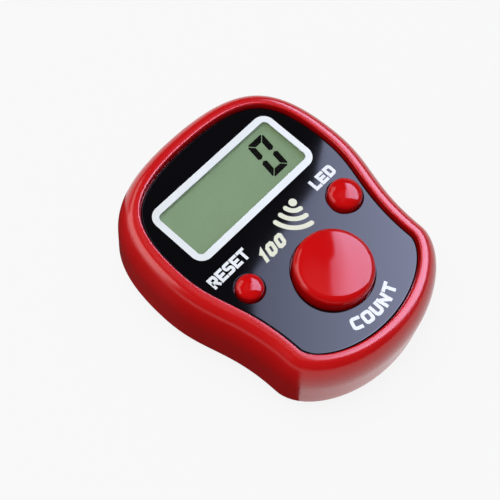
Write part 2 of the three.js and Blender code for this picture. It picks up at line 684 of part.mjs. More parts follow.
// Button cap: hollow, with a central stem, a flange under the deck and a rounded, domed top.
function buttonCap({ radius, rise, round, crown, sides }) {
  const angle = THREE.MathUtils.degToRad(crown);
  const edge = PANEL_TOP + rise;
  const dome = (radius - round) / Math.sin(angle) + round;
  const domeCentre = edge + (round - dome) * Math.cos(angle);
  const roof = edge + round - CAP_WALL;
  const inner = radius - CAP_WALL;
  const flange = radius + BUTTON_CLEARANCE + FLANGE_OVERLAP;
  const profile = [[0, FLANGE_BOTTOM]];
  if (inner > 2 * PLUNGER_RADIUS) {
    profile.push([PLUNGER_RADIUS, FLANGE_BOTTOM], [PLUNGER_RADIUS, roof], [inner, roof]);
    profile.push([inner, FLANGE_BOTTOM]);
  }
  profile.push([flange, FLANGE_BOTTOM], [flange, FLANGE_TOP], [radius, FLANGE_TOP]);
  const edgeSteps = 4;
  const domeSteps = 4;
  for (let i = 0; i <= edgeSteps; i += 1) {
    const lean = Math.PI / 2 + ((angle - Math.PI / 2) * i) / edgeSteps;
    profile.push([radius - round + round * Math.sin(lean), edge + round * Math.cos(lean)]);
  }
  for (let i = 1; i < domeSteps; i += 1) {
    const lean = angle * (1 - i / domeSteps);
    profile.push([dome * Math.sin(lean), domeCentre + dome * Math.cos(lean)]);
  }
  profile.push([0, domeCentre + dome]);
  return turned(profile, sides);
}

function switchBase() {
  const pocket = disc(0, 0, SWITCH_POCKET, SWITCH_FLOOR, SWITCH_BASE_HEIGHT + PAST);
  return cut(block(0, 0, SWITCH_SIZE, SWITCH_SIZE, 0, SWITCH_BASE_HEIGHT), [pocket]);
}

function switchCover() {
  const bottom = SWITCH_BASE_HEIGHT + FLAT_GAP;
  const top = bottom + SWITCH_COVER_THICKNESS;
  const hole = disc(0, 0, PLUNGER_RADIUS + PLUNGER_CLEARANCE, bottom - PAST, top + PAST);
  return cut(block(0, 0, SWITCH_SIZE, SWITCH_SIZE, bottom, top), [hole]);
}

function switchPlunger() {
  const collarBottom = SWITCH_FLOOR + BUTTON_TRAVEL + FLAT_GAP;
  const collarTop = collarBottom + PLUNGER_COLLAR_HEIGHT;
  return turned(
    [
      [0, collarBottom],
      [PLUNGER_COLLAR, collarBottom],
      [PLUNGER_COLLAR, collarTop],
      [PLUNGER_RADIUS, collarTop],
      [PLUNGER_RADIUS, SWITCH_HEIGHT],
      [0, SWITCH_HEIGHT],
    ],
    18
  );
}

function caseGroup() {
  const group = new THREE.Group();
  group.add(
    piece("front_shell", frontShell(), "redShell"),
    piece("back_cover", backCover(), "redShell"),
    piece("face_panel", facePanel(), "blackPanel"),
    piece("display_window", displayWindow(), "clearWindow")
  );
  CASE_SCREWS.forEach(([x, y], i) => {
    const mesh = piece(`case_screw_${i + 1}`, screw(CASE_SCREW), "steel");
    mesh.position.set(x, y, CASE_HEAD_RECESS - FLAT_GAP);
    group.add(mesh);
  });
  return group;
}

// A button with its switch: the switch parts stand on the board, right below the cap.
function buttonStation(name, button) {
  const group = new THREE.Group();
  group.position.set(button.x, button.y, 0);
  const parts = [
    piece(`${name}_switch_base`, switchBase(), "blackPlastic"),
    piece(`${name}_switch_cover`, switchCover(), "steel"),
    piece(`${name}_switch_plunger`, switchPlunger(), "whitePlastic"),
  ];
  parts.forEach((part) => part.position.setZ(BOARD_TOP));
  group.add(piece(`${name}_button`, buttonCap(button), "redButton"), ...parts);
  return group;
}

function displayGroup() {
  const group = new THREE.Group();
  group.add(
    piece("display_upper_glass", upperGlass(), "displayGlass"),
    piece("display_lower_glass", lowerGlass(), "displayGlass"),
    piece("light_guide", lightGuide(), "whitePlastic"),
    piece("backlight_lamp", backlightLamp(), "whitePlastic"),
    piece("display_holder", displayHolder(), "whitePlastic"),
    piece("contact_strip", rubberStrip(), "rubber")
  );
  return group;
}

function boardGroup() {
  const group = new THREE.Group();
  const blob = piece("chip_blob", epoxyBlob(), "epoxy");
  blob.position.set(0, DISPLAY_Y - CHIP_DROP, BOARD_TOP);
  group.add(piece("circuit_board", circuitBoard(), "board"), blob);
  ["resistor_1", "capacitor_1", "resistor_2"].forEach((name, i) => {
    const { length, width, height } = CHIP_PART;
    const mesh = piece(name, block(0, 0, length, width, 0, height), "ceramic");
    mesh.position.set((i - 1) * CHIP_PART_PITCH, CHIP_PART_MARGIN - CASE_LENGTH / 2, BOARD_TOP);
    group.add(mesh);
  });
  return group;
}

function batteryGroup() {
  const group = new THREE.Group();
  CELL_CENTRES.forEach((y, i) => {
    const mesh = piece(`battery_cell_${i + 1}`, cell(), "steel");
    mesh.position.set(0, y, CELL_BOTTOM);
    const leaf = piece(`battery_contact_${i + 1}`, leafContact(CONTACT_WIDTH), "brass");
    leaf.position.set(0, y, BOARD_BOTTOM);
    group.add(mesh, leaf);
  });
  group.add(
    piece("battery_hatch", hatch(), "redShell"),
    piece("battery_link", linkContact(), "brass")
  );
  hatchScrewPlaces().forEach(([x, y], i) => {
    const mesh = piece(`hatch_screw_${i + 1}`, screw(HATCH_SCREW), "steel");
    mesh.position.set(x, y, HATCH_TOP - HATCH_SCREW_WEB - FLAT_GAP);
    group.add(mesh);
  });
  return group;
}

function buzzerGroup() {
  const group = new THREE.Group();
  group.position.set(0, BUZZER_Y, BUZZER_SEAT_TOP);
  const plateTop = FLAT_GAP + BUZZER_PLATE;
  const ceramicTop = plateTop + CERAMIC_THICKNESS;
  const boardBottom = BOARD_BOTTOM - BUZZER_SEAT_TOP - FLAT_GAP;
  const plateLead = (CERAMIC_RADIUS + BUZZER_RADIUS) / 2;
  group.add(
    piece("buzzer_plate", disc(0, 0, BUZZER_RADIUS, FLAT_GAP, plateTop, 32), "brass"),
    piece("buzzer_ceramic", disc(0, 0, CERAMIC_RADIUS, plateTop, ceramicTop, 24), "ceramic"),
    piece("buzzer_lead_1", disc(0, -plateLead, LEAD_RADIUS, plateTop, boardBottom, 8), "steel"),
    piece("buzzer_lead_2", disc(0, 0, LEAD_RADIUS, ceramicTop, boardBottom, 8), "steel")
  );
  return group;
}

const counter = new THREE.Group();
counter.add(caseGroup(), displayGroup(), boardGroup(), batteryGroup(), buzzerGroup());
Object.entries(BUTTONS).forEach(([name, button]) => counter.add(buttonStation(name, button)));

export default counter;
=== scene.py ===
"""Digital hand tally counter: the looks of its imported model, in metres, with +Z out of the face."""

import logging
import math
from dataclasses import dataclass
from enum import Enum
from typing import Iterable, Sequence

import bmesh
import bpy
from mathutils import Matrix, Vector
from mathutils.geometry import interpolate_bezier


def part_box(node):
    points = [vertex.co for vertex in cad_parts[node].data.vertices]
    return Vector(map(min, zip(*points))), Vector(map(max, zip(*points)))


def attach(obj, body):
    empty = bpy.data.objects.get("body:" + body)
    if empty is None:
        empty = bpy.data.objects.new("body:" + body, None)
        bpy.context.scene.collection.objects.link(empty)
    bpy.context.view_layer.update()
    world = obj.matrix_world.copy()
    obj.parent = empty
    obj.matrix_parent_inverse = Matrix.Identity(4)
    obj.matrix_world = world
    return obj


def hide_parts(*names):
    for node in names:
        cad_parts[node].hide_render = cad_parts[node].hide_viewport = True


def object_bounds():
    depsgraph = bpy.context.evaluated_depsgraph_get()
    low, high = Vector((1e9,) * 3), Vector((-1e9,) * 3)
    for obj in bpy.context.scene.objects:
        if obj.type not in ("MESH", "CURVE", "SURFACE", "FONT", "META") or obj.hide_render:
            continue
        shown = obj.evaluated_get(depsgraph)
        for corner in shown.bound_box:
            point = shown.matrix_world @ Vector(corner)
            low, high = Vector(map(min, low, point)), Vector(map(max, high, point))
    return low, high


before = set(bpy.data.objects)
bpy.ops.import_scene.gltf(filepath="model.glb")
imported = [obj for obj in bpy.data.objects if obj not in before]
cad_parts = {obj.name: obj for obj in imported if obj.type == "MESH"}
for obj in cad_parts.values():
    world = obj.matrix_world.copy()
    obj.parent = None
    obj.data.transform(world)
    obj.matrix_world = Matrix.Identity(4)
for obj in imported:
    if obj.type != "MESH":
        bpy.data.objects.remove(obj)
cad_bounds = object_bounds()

log = logging.getLogger("tally_counter")

MM = 0.001
FULL_TURN = 2 * math.pi
CREASE_ANGLE = math.radians(32)  # an edge that turns further than this stays sharp
FLAT_ANGLE = math.radians(0.4)  # faces that turn less than this are joined
LEVEL_RISE = 0.999999  # a face whose normal rises this far is shaded flat
WELD = 1e-4  # points nearer than this are one, in millimetres
EDGE_STEPS = 6  # steps of a plate's rounded edge
REFINED_STEPS = 2  # steps of a carried-over piece's rounded edges
SHARPEST_MITRE = 0.35  # cosine at which a band's mitre stops growing

Colour = tuple[float, float, float]
Point = tuple[float, float, float]  # a place or a direction, in millimetres
Spot = tuple[float, float]  # a place seen from above, in millimetres
Level = tuple[float, float]  # how far in from a line, and how high


class Body(Enum):
    """The bodies that pieces ride on."""

    CASE = "case"
    COUNT = "count_key"
    LED = "led_key"
    RESET = "reset_key"
    HATCH = "hatch"


class Slot(Enum):
    """Names of the record's material slots, passed along with new pieces but not used."""

    SHELL = "red_shell"
    BUTTON = "red_button"
    PANEL = "black_panel"
    WINDOW = "clear_window"
    DISPLAY = "display_glass"
    WHITE = "white_plastic"
    BLACK = "black_plastic"
    STEEL = "steel"


def top_of(node: str) -> float:
    """Height of a node's top, in millimetres."""
    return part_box(node)[1].z / MM


def bottom_of(node: str) -> float:
    """Height of a node's underside, in millimetres."""
    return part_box(node)[0].z / MM


def middle_of(node: str) -> Spot:
    """Middle of a node seen from above, in millimetres."""
    low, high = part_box(node)
    return (low.x + high.x) / 2 / MM, (low.y + high.y) / 2 / MM


# Closed lines seen from above, in millimetres.
class Loop:
    """A closed line that can be drawn further in or out."""

    def at(self, inset: float) -> list[Vector]:
        """Points of the line moved inwards.

        Args:
            inset: how far the line moves inwards; outwards if negative.

        Returns:
            The points, anticlockwise.
        """
        raise NotImplementedError


@dataclass(frozen=True)
class CaseLoop(Loop):
    """The case outline: a wide rounded display end and a narrower thumb lobe.

    The sizes are in millimetres. A pull says how far a curve runs straight on from a point.

    Attributes:
        width: the whole width.
        length: the whole length.
        widest_y: where the width is reached.
        lobe_width: the lobe's width.
        lobe_y: where that is reached.
        top_pull: pull at the display end's tip.
        shoulder_pull: pull at the widest point, towards the display end.
        flank_pull: pull at the widest point, towards the lobe.
        waist_pull: pull at the lobe's side, towards the widest point.
        lobe_pull: pull at the lobe's side, towards its tip.
        bottom_pull: pull at the lobe's tip.
        steps: steps of each of the three curves of one side.
    """

    width: float
    length: float
    widest_y: float = 4.5
    lobe_width: float = 25.0
    lobe_y: float = -10.8
    top_pull: float = 11.0
    shoulder_pull: float = 10.5
    flank_pull: float = 6.1
    waist_pull: float = 7.5
    lobe_pull: float = 3.8
    bottom_pull: float = 6.9
    steps: int = 48

    def base(self) -> list[Vector]:
        """Draws the outline itself.

        Returns:
            Its points, anticlockwise from the bottom middle.
        """
        bottom = Vector((0, -self.length / 2))
        lobe = Vector((self.lobe_width / 2, self.lobe_y))
        side = Vector((self.width / 2, self.widest_y))
        top = Vector((0, self.length / 2))
        spans = [
            (bottom, (self.bottom_pull, 0), (0, -self.lobe_pull), lobe),
            (lobe, (0, self.waist_pull), (0, -self.flank_pull), side),
            (side, (0, self.shoulder_pull), (self.top_pull, 0), top),
        ]
        right: list[Vector] = []
        for start, leave, arrive, end in spans:
            handles = start + Vector(leave), end + Vector(arrive)
            right += interpolate_bezier(start, *handles, end, self.steps + 1)[:-1]
        left = [Vector((-p.x, p.y)) for p in reversed(right[1:])]
        return [*right, top, *left]

    def at(self, inset: float) -> list[Vector]:
        """Points of the outline moved inwards.

        Args:
            inset: how far each point moves square to the outline.

        Returns:
            The points, anticlockwise.
        """
        points = self.base()
        moved = []
        for i, point in enumerate(points):
            along = (points[(i + 1) % len(points)] - points[i - 1]).normalized()
            moved.append(point + Vector((-along.y, along.x)) * inset)
        return moved


@dataclass(frozen=True)
class RectangleLoop(Loop):
    """A rectangle with round corners, in millimetres.

    Attributes:
        centre: its middle.
        width: its width.
        height: its height.
        corner: radius of its corners.
        smallest_corner: what that radius never gets smaller than.
        steps: steps of each corner.
    """

    centre: Spot
    width: float
    height: float
    corner: float
    smallest_corner: float = 0.005
    steps: int = 12

    def at(self, inset: float) -> list[Vector]:
        """Points of the rectangle moved inwards.

        Args:
            inset: how far the sides move.

        Returns:
            The points, anticlockwise.
        """
        corner = max(self.corner - inset, self.smallest_corner)
        across = self.width / 2 - inset - corner
        up = self.height / 2 - inset - corner
        middle = Vector(self.centre)
        points = []
        for quarter, (sx, sy) in enumerate([(1, -1), (1, 1), (-1, 1), (-1, -1)]):
            for step in range(self.steps + 1):
                angle = math.pi / 2 * (quarter - 1 + step / self.steps)
                turn = Vector((math.cos(angle), math.sin(angle))) * corner
                points.append(middle + Vector((across * sx, up * sy)) + turn)
        return points


@dataclass(frozen=True)
class CircleLoop(Loop):
    """A circle, in millimetres.

    Attributes:
        centre: its middle.
        radius: its radius.
        steps: steps of the full turn.
    """

    centre: Spot
    radius: float
    steps: int = 96

    def at(self, inset: float) -> list[Vector]:
        """Points of the circle moved inwards.

        Args:
            inset: how much smaller the radius gets.

        Returns:
            The points, anticlockwise.
        """
        radius = self.radius - inset
        angles = [FULL_TURN * i / self.steps for i in range(self.steps)]
        return [Vector(self.centre) + Vector((math.cos(a), math.sin(a))) * radius for a in angles]


# Making and closing meshes.
def draw_ring(bm: bmesh.types.BMesh, loop: Loop, level: Level) -> list[bmesh.types.BMVert]:
    """Draws a closed ring of edges.

    Args:
        bm: the mesh that gets the ring.
        loop: the line that the ring follows.
        level: how far in, and how high.

    Returns:
        The ring's vertices in order.
    """
    verts = [bm.verts.new((p.x, p.y, level[1])) for p in loop.at(level[0])]
    for i, vert in enumerate(verts):
        bm.edges.new((verts[i - 1], vert))
    return verts


def ring_edges(bm: bmesh.types.BMesh, verts: Sequence[bmesh.types.BMVert]) -> list[bmesh.types.BMEdge]:
    """The edges between neighbours in a ring."""
    return [bm.edges.get((verts[i - 1], vert)) for i, vert in enumerate(verts)]


def carry_ring(
    bm: bmesh.types.BMesh, verts: list[bmesh.types.BMVert], loop: Loop, levels: Iterable[Level]
) -> list[bmesh.types.BMVert]:
    """Extrudes a ring through levels and leaves a wall behind it.

    Args:
        bm: the mesh.
        verts: the ring to start from.
        loop: the line that it follows.
        levels: how far in and how high each next ring lies.

    Returns:
        The last ring's vertices in order.
    """
    for inset, height in levels:
        made = bmesh.ops.extrude_edge_only(bm, edges=ring_edges(bm, verts))["geom"]
        fresh = {item for item in made if isinstance(item, bmesh.types.BMVert)}
        verts = [
            next(e.other_vert(v) for e in v.link_edges if e.other_vert(v) in fresh) for v in verts
        ]
        for vert, point in zip(verts, loop.at(inset)):
            vert.co = (point.x, point.y, height)
    return verts


def close_flat(bm: bmesh.types.BMesh, rings: Sequence[Sequence[bmesh.types.BMVert]]) -> None:
    """Fills the level area between an outer ring and the rings of its holes.

    Args:
        bm: the mesh.
        rings: the outer ring and those of the holes.
    """
    edges = [edge for ring in rings for edge in ring_edges(bm, ring)]
    bmesh.ops.triangle_fill(bm, use_beauty=True, use_dissolve=False, edges=edges)


def round_levels(start: Level, end: Level, bulge: Level, steps: int) -> list[Level]:
    """Works out the levels along an elliptic quarter round.

    Args:
        start: where the round starts, left out of the result.
        end: where it ends.
        bulge: the outer corner that the round turns inside of.
        steps: how many steps it has.

    Returns:
        The levels after the start.
    """
    levels = []
    for step in range(1, steps + 1):
        angle = math.pi / 2 * step / steps
        near, far = 1 - math.sin(angle), 1 - math.cos(angle)
        inset = bulge[0] + (start[0] - bulge[0]) * near + (end[0] - bulge[0]) * far
        height = bulge[1] + (start[1] - bulge[1]) * near + (end[1] - bulge[1]) * far
        levels.append((inset, height))
    return levels


def plate(
    outer: Loop, holes: Sequence[Loop], bottom: float, top: float, edge: float, hole_edge: float = 0.0
) -> bmesh.types.BMesh:
    """Makes a level plate with holes, its upper edges rounded.

    Args:
        outer: the plate's outline.
        holes: the outlines of its holes.
        bottom: height of its underside.
        top: height of its top.
        edge: radius of the upper edge outside.
        hole_edge: radius of the holes' upper edges; the same as outside if it is 0.

    Returns:
        The closed mesh.
    """
    bm = bmesh.new()
    lower, upper = [], []
    for loop, size in [(outer, edge), *[(hole, -(hole_edge or edge)) for hole in holes]]:
        ring = draw_ring(bm, loop, (0.0, bottom))
        lower.append(ring)
        shoulder = (0.0, top - abs(size))
        levels = [shoulder, *round_levels(shoulder, (size, top), (0.0, top), EDGE_STEPS)]
        upper.append(carry_ring(bm, ring, loop, levels))
    close_flat(bm, lower)
    close_flat(bm, upper)
    return bm


def turned(profile: Sequence[tuple[float, float]], centre: Spot, steps: int) -> bmesh.types.BMesh:
    """Turns a piece from its profile.

    Args:
        profile: radius and height pairs that start and end on the axis.
        centre: where the axis stands, seen from above.
        steps: how many steps the full turn has.

    Returns:
        The closed mesh.
    """
    bm = bmesh.new()
    verts = [bm.verts.new((radius, 0, height)) for radius, height in profile]
    edges = [bm.edges.new(pair) for pair in zip(verts, verts[1:])]
    bmesh.ops.spin(
        bm,
        geom=verts + edges,
        cent=(0, 0, 0),
        axis=(0, 0, 1),
        angle=FULL_TURN,
        steps=steps,
        use_merge=True,
    )
    bmesh.ops.remove_doubles(bm, verts=bm.verts, dist=WELD)
    bmesh.ops.translate(bm, vec=(*centre, 0), verts=bm.verts)
    return bm


def shade(bm: bmesh.types.BMesh) -> None:
    """Shades curved faces smooth and level faces flat, and keeps sharp edges sharp.

    Args:
        bm: the mesh.
    """
    for face in bm.faces:
        face.smooth = abs(face.normal.z) < LEVEL_RISE
    for edge in bm.edges:
        edge.smooth = edge.calc_face_angle(0.0) < CREASE_ANGLE


def add_mesh(
    name: str, bm: bmesh.types.BMesh, material: bpy.types.Material, unit: float = MM
) -> bpy.types.Object:
    """Puts a mesh in the scene as an object at the origin.

    Args:
        name: the object's name.
        bm: its mesh, which is freed.
        material: its material.
        unit: length of the mesh's unit, in metres.

    Returns:
        The object.
    """
    bmesh.ops.scale(bm, vec=(unit,) * 3, verts=bm.verts)
    mesh = bpy.data.meshes.new(name)
    bm.to_mesh(mesh)
    bm.free()
    mesh.materials.append(material)
    holder = bpy.data.objects.new(name, mesh)
    bpy.context.scene.collection.objects.link(holder)
    return holder


def settle(
    name: str,
    bm: bmesh.types.BMesh,
    finish: bpy.types.Material,
    body: Body,
    slot: Slot,
    replaces: Sequence[str] = (),
    unit: float = MM,
) -> None:
    """Turns a mesh into a finished piece that rides on a body.

    Args:
        name: the piece's name.
        bm: its mesh, which is freed.
        finish: its material.
        body: the body that it rides on.
        slot: the record's slot of its finish; not used.
        replaces: the nodes that it stands for.
        unit: length of the mesh's unit, in metres.
    """
    bmesh.ops.recalc_face_normals(bm, faces=bm.faces)
    bm.normal_update()
    shade(bm)
    piece = add_mesh(name, bm, finish, unit)
    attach(piece, body.value)
    if replaces:
        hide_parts(*replaces)
    log.info("%s: %d faces on %s", name, len(piece.data.polygons), body.value)


def refined(node: str, edge: float) -> bmesh.types.BMesh:
    """Copies a node's mesh, in metres, with its sharp edges rounded.

    Args:
        node: the node's name.
        edge: width of the rounded edges, in millimetres.

    Returns:
        The mesh.
    """
    bm = bmesh.new()
    bm.from_mesh(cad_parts[node].data)
    bmesh.ops.remove_doubles(bm, verts=bm.verts, dist=WELD * MM)
    bmesh.ops.dissolve_limit(bm, angle_limit=FLAT_ANGLE, verts=bm.verts, edges=bm.edges)
    sharp = [e for e in bm.edges if e.is_manifold and e.calc_face_angle() > CREASE_ANGLE]
    bmesh.ops.bevel(
        bm,
        geom=sharp,
        offset=edge * MM,
        offset_type="OFFSET",
        affect="EDGES",
        segments=REFINED_STEPS,
        profile=0.5,
        material=-1,
        clamp_overlap=True,
        loop_slide=False,
    )
    bmesh.ops.triangulate(bm, faces=bm.faces)
    return bm


# Finishes.
@dataclass(frozen=True)
class Finish:
    """A surface whose colour and gloss vary a little, with a fine relief.

    Attributes:
        name: the material's name.
        colour: the linear base colour.
        rough: the lowest and highest roughness.
        shift: how far the colour varies, as a share of it.
        grain: size of the relief's grain, in millimetres.
        relief: height of the relief, in millimetres.
        metal: 1 for metal.
        specular: level of the surface's mirror.
        cloud: size of the colour's clouds, in grains.
        cloud_detail: how fine the clouds' outlines are.
        grain_detail: how fine the grain's outlines are.
        noise_span: the noise values at which the roughness reaches its two ends.
    """

    name: str
    colour: Colour
    rough: tuple[float, float] = (0.2, 0.3)
    shift: float = 0.05
    grain: float = 0.4
    relief: float = 0.002
    metal: float = 0.0
    specular: float = 0.5
    cloud: float = 14.0
    cloud_detail: float = 3.0
    grain_detail: float = 2.0
    noise_span: tuple[float, float] = (0.3, 0.7)

    def build(self) -> bpy.types.Material:
        """The material, made once."""
        made = bpy.data.materials.get(self.name)
        return made or self.make()

    def make(self) -> bpy.types.Material:
        """Makes the material.

        Returns:
            The material with its node tree.
        """
        material = bpy.data.materials.new(self.name)
        material.use_nodes = True
        tree = material.node_tree
        shader = tree.nodes["Principled BSDF"]
        shader.inputs["Metallic"].default_value = self.metal
        shader.inputs["Specular IOR Level"].default_value = self.specular
        cloud = self.noise(tree, 1 / (self.grain * self.cloud * MM), self.cloud_detail)
        fine = self.noise(tree, 1 / (self.grain * MM), self.grain_detail)
        self.tint(tree, cloud, shader)
        self.gloss(tree, cloud, shader)
        self.bump(tree, fine, shader)
        return material

    def noise(self, tree: bpy.types.NodeTree, scale: float, detail: float) -> bpy.types.NodeSocket:
        """Adds a noise in the piece's own space.

        Args:
            tree: the node tree.
            scale: how many grains a metre holds.
            detail: how fine the noise is.

        Returns:
            The noise as a factor.
        """
        place = tree.nodes.new("ShaderNodeTexCoord")
        noise = tree.nodes.new("ShaderNodeTexNoise")
        noise.inputs["Scale"].default_value = scale
        noise.inputs["Detail"].default_value = detail
        tree.links.new(place.outputs["Object"], noise.inputs["Vector"])
        return noise.outputs["Fac"]

    def tint(
        self, tree: bpy.types.NodeTree, factor: bpy.types.NodeSocket, shader: bpy.types.Node
    ) -> None:
        """Varies the colour round the base colour.

        Args:
            tree: the node tree.
            factor: what the colour varies with.
            shader: the shader that gets the colour.
        """
        mix = tree.nodes.new("ShaderNodeMix")
        mix.data_type = "RGBA"
        mix.inputs["A"].default_value = (*[c * (1 - self.shift) for c in self.colour], 1)
        mix.inputs["B"].default_value = (*[min(c * (1 + self.shift), 1) for c in self.colour], 1)
        tree.links.new(factor, mix.inputs["Factor"])
        tree.links.new(mix.outputs["Result"], shader.inputs["Base Color"])

    def gloss(
        self, tree: bpy.types.NodeTree, factor: bpy.types.NodeSocket, shader: bpy.types.Node
    ) -> None:
        """Varies the roughness between its two ends.

        Args:
            tree: the node tree.
            factor: what the roughness varies with.
            shader: the shader that gets the roughness.
        """
        span = tree.nodes.new("ShaderNodeMapRange")
        span.inputs["From Min"].default_value = self.noise_span[0]
        span.inputs["From Max"].default_value = self.noise_span[1]
        span.inputs["To Min"].default_value = self.rough[0]
        span.inputs["To Max"].default_value = self.rough[1]
        tree.links.new(factor, span.inputs["Value"])
        tree.links.new(span.outputs["Result"], shader.inputs["Roughness"])

    def bump(
        self, tree: bpy.types.NodeTree, height: bpy.types.NodeSocket, shader: bpy.types.Node
    ) -> None:
        """Adds the fine relief.

        Args:
            tree: the node tree.
            height: what the relief follows.
            shader: the shader that gets the relief.
        """
        if not self.relief:
            return
        bump = tree.nodes.new("ShaderNodeBump")
        bump.inputs["Strength"].default_value = 1.0
        bump.inputs["Distance"].default_value = self.relief * MM
        tree.links.new(height, bump.inputs["Height"])
        tree.links.new(bump.outputs["Normal"], shader.inputs["Normal"])


@dataclass(frozen=True)
class BrushedMetal(Finish):
    """Metal with fine lines that run one way.

    Attributes:
        stretch: how closely the lines lie along each axis.
    """

    stretch: Point = (1.0, 12.0, 12.0)

    def noise(self, tree: bpy.types.NodeTree, scale: float, detail: float) -> bpy.types.NodeSocket:
        """Adds a noise drawn out along the brushing.

        Args:
            tree: the node tree.
            scale: how many grains a metre holds.
            detail: how fine the noise is.

        Returns:
            The noise as a factor.
        """
        place = tree.nodes.new("ShaderNodeTexCoord")
        mapping = tree.nodes.new("ShaderNodeMapping")
        mapping.inputs["Scale"].default_value = self.stretch
        noise = tree.nodes.new("ShaderNodeTexNoise")
        noise.inputs["Scale"].default_value = scale
        noise.inputs["Detail"].default_value = detail
        tree.links.new(place.outputs["Object"], mapping.inputs["Vector"])
        tree.links.new(mapping.outputs["Vector"], noise.inputs["Vector"])
        return noise.outputs["Fac"]


@dataclass(frozen=True)
class ClearPane(Finish):
    """Clear acrylic that lets the lamps' light through to what lies under it.

    Attributes:
        refraction: how strongly it bends light.
        tint_through: the share of the lamps' light that it lets through.
    """

    refraction: float = 1.49
    tint_through: Colour = (0.96, 0.97, 0.96)

    def make(self) -> bpy.types.Material:
        """Makes the material.

        Returns:
            The material with its node tree.
        """
        material = super().make()
        tree = material.node_tree
        shader = tree.nodes["Principled BSDF"]
        shader.inputs["Transmission Weight"].default_value = 1.0
        shader.inputs["IOR"].default_value = self.refraction
        path = tree.nodes.new("ShaderNodeLightPath")
        clear = tree.nodes.new("ShaderNodeBsdfTransparent")
        clear.inputs["Color"].default_value = (*self.tint_through, 1)
        mix = tree.nodes.new("ShaderNodeMixShader")
        tree.links.new(path.outputs["Is Shadow Ray"], mix.inputs["Fac"])
        tree.links.new(shader.outputs["BSDF"], mix.inputs[1])
        tree.links.new(clear.outputs["BSDF"], mix.inputs[2])
        tree.links.new(mix.outputs["Shader"], tree.nodes["Material Output"].inputs["Surface"])
        return material


@dataclass(frozen=True)
class BoardLacquer(Finish):
    """Green lacquer over copper tracks.

    Attributes:
        copper: the colour over the tracks.
        pitch: how far apart the tracks lie, in millimetres.
        track: how wide they are, as a share of the pitch.
        second: brightness of every second field between them.
    """

    copper: Colour = (0.05, 0.2, 0.06)
    pitch: float = 3.2
    track: float = 0.06
    second: float = 0.92

    def tint(
        self, tree: bpy.types.NodeTree, factor: bpy.types.NodeSocket, shader: bpy.types.Node
    ) -> None:
        """Mixes the track colour in along a pattern of bricks.

        Args:
            tree: the node tree.
            factor: left unused, as the tracks set the colour.
            shader: the shader that gets the colour.
        """
        place = tree.nodes.new("ShaderNodeTexCoord")
        tracks = tree.nodes.new("ShaderNodeTexBrick")
        tracks.inputs["Scale"].default_value = 1 / (self.pitch * MM)
        tracks.inputs["Mortar Size"].default_value = self.track
        tracks.inputs["Color1"].default_value = (*self.colour, 1)
        tracks.inputs["Color2"].default_value = (*[c * self.second for c in self.colour], 1)
        tracks.inputs["Mortar"].default_value = (*self.copper, 1)
        tree.links.new(place.outputs["Object"], tracks.inputs["Vector"])
        tree.links.new(tracks.outputs["Color"], shader.inputs["Base Color"])


RED_SHELL = Finish(
    "glossy_red_shell", (0.68, 0.0036, 0.0045), (0.17, 0.24), 0.03, 0.5, 0.0004, specular=0.55
)
RED_KEY = Finish(
    "glossy_red_key", (0.7, 0.0036, 0.0046), (0.09, 0.14), 0.03, 0.5, 0.0003, specular=0.32
)
RED_BACK = Finish("satin_red_back", (0.6, 0.0036, 0.0045), (0.24, 0.34), 0.05, 0.12, 0.004)
BLACK_PANEL = Finish("glossy_black_panel", (0.0022, 0.0018, 0.003), (0.035, 0.06), 0.2, 0.8, 0.0002)
WHITE_PRINT = Finish("white_print", (0.86, 0.89, 0.9), (0.3, 0.42), 0.02, 0.2, 0.001)
CREAM_PRINT = Finish("cream_print", (0.78, 0.8, 0.6), (0.3, 0.42), 0.02, 0.2, 0.001)
CLEAR_WINDOW = ClearPane("clear_window_pane", (0.97, 0.98, 0.97), (0.01, 0.03), 0.01, 0.8, 0.0)
DISPLAY_FILM = Finish(
    "grey_green_display_film", (0.264, 0.36, 0.184), (0.4, 0.5), 0.02, 0.3, 0.0002, specular=0.1
)
DISPLAY_GLASS = Finish("display_glass", (0.2, 0.27, 0.2), (0.05, 0.12), 0.04, 0.5, 0.0)
SEGMENT_INK = Finish(
    "black_segments", (0.005, 0.004, 0.003), (0.4, 0.5), 0.1, 0.3, 0.0, specular=0.0
)
WHITE_PLASTIC = Finish("white_plastic", (0.76, 0.77, 0.74), (0.4, 0.52), 0.03, 0.2, 0.002)
BLACK_PLASTIC = Finish("black_plastic", (0.012, 0.012, 0.013), (0.45, 0.6), 0.1, 0.15, 0.004)
BOARD = BoardLacquer("green_board", (0.012, 0.1, 0.03), (0.3, 0.45), 0.1, 0.3, 0.004)
EPOXY = Finish("black_epoxy", (0.006, 0.006, 0.007), (0.25, 0.4), 0.1, 0.4, 0.01)
RUBBER = Finish("grey_rubber", (0.045, 0.045, 0.05), (0.7, 0.85), 0.1, 0.15, 0.006)
STEEL = BrushedMetal("bright_steel", (0.62, 0.63, 0.65), (0.18, 0.34), 0.06, 0.25, 0.002, 1.0)
BRASS = BrushedMetal("brass", (0.75, 0.52, 0.2), (0.2, 0.36), 0.08, 0.25, 0.002, 1.0)
CERAMIC = Finish("pale_ceramic", (0.74, 0.7, 0.62), (0.5, 0.65), 0.05, 0.2, 0.003)

OUTLINE = CaseLoop(
    (cad_bounds[1].x - cad_bounds[0].x) / MM, (cad_bounds[1].y - cad_bounds[0].y) / MM
)


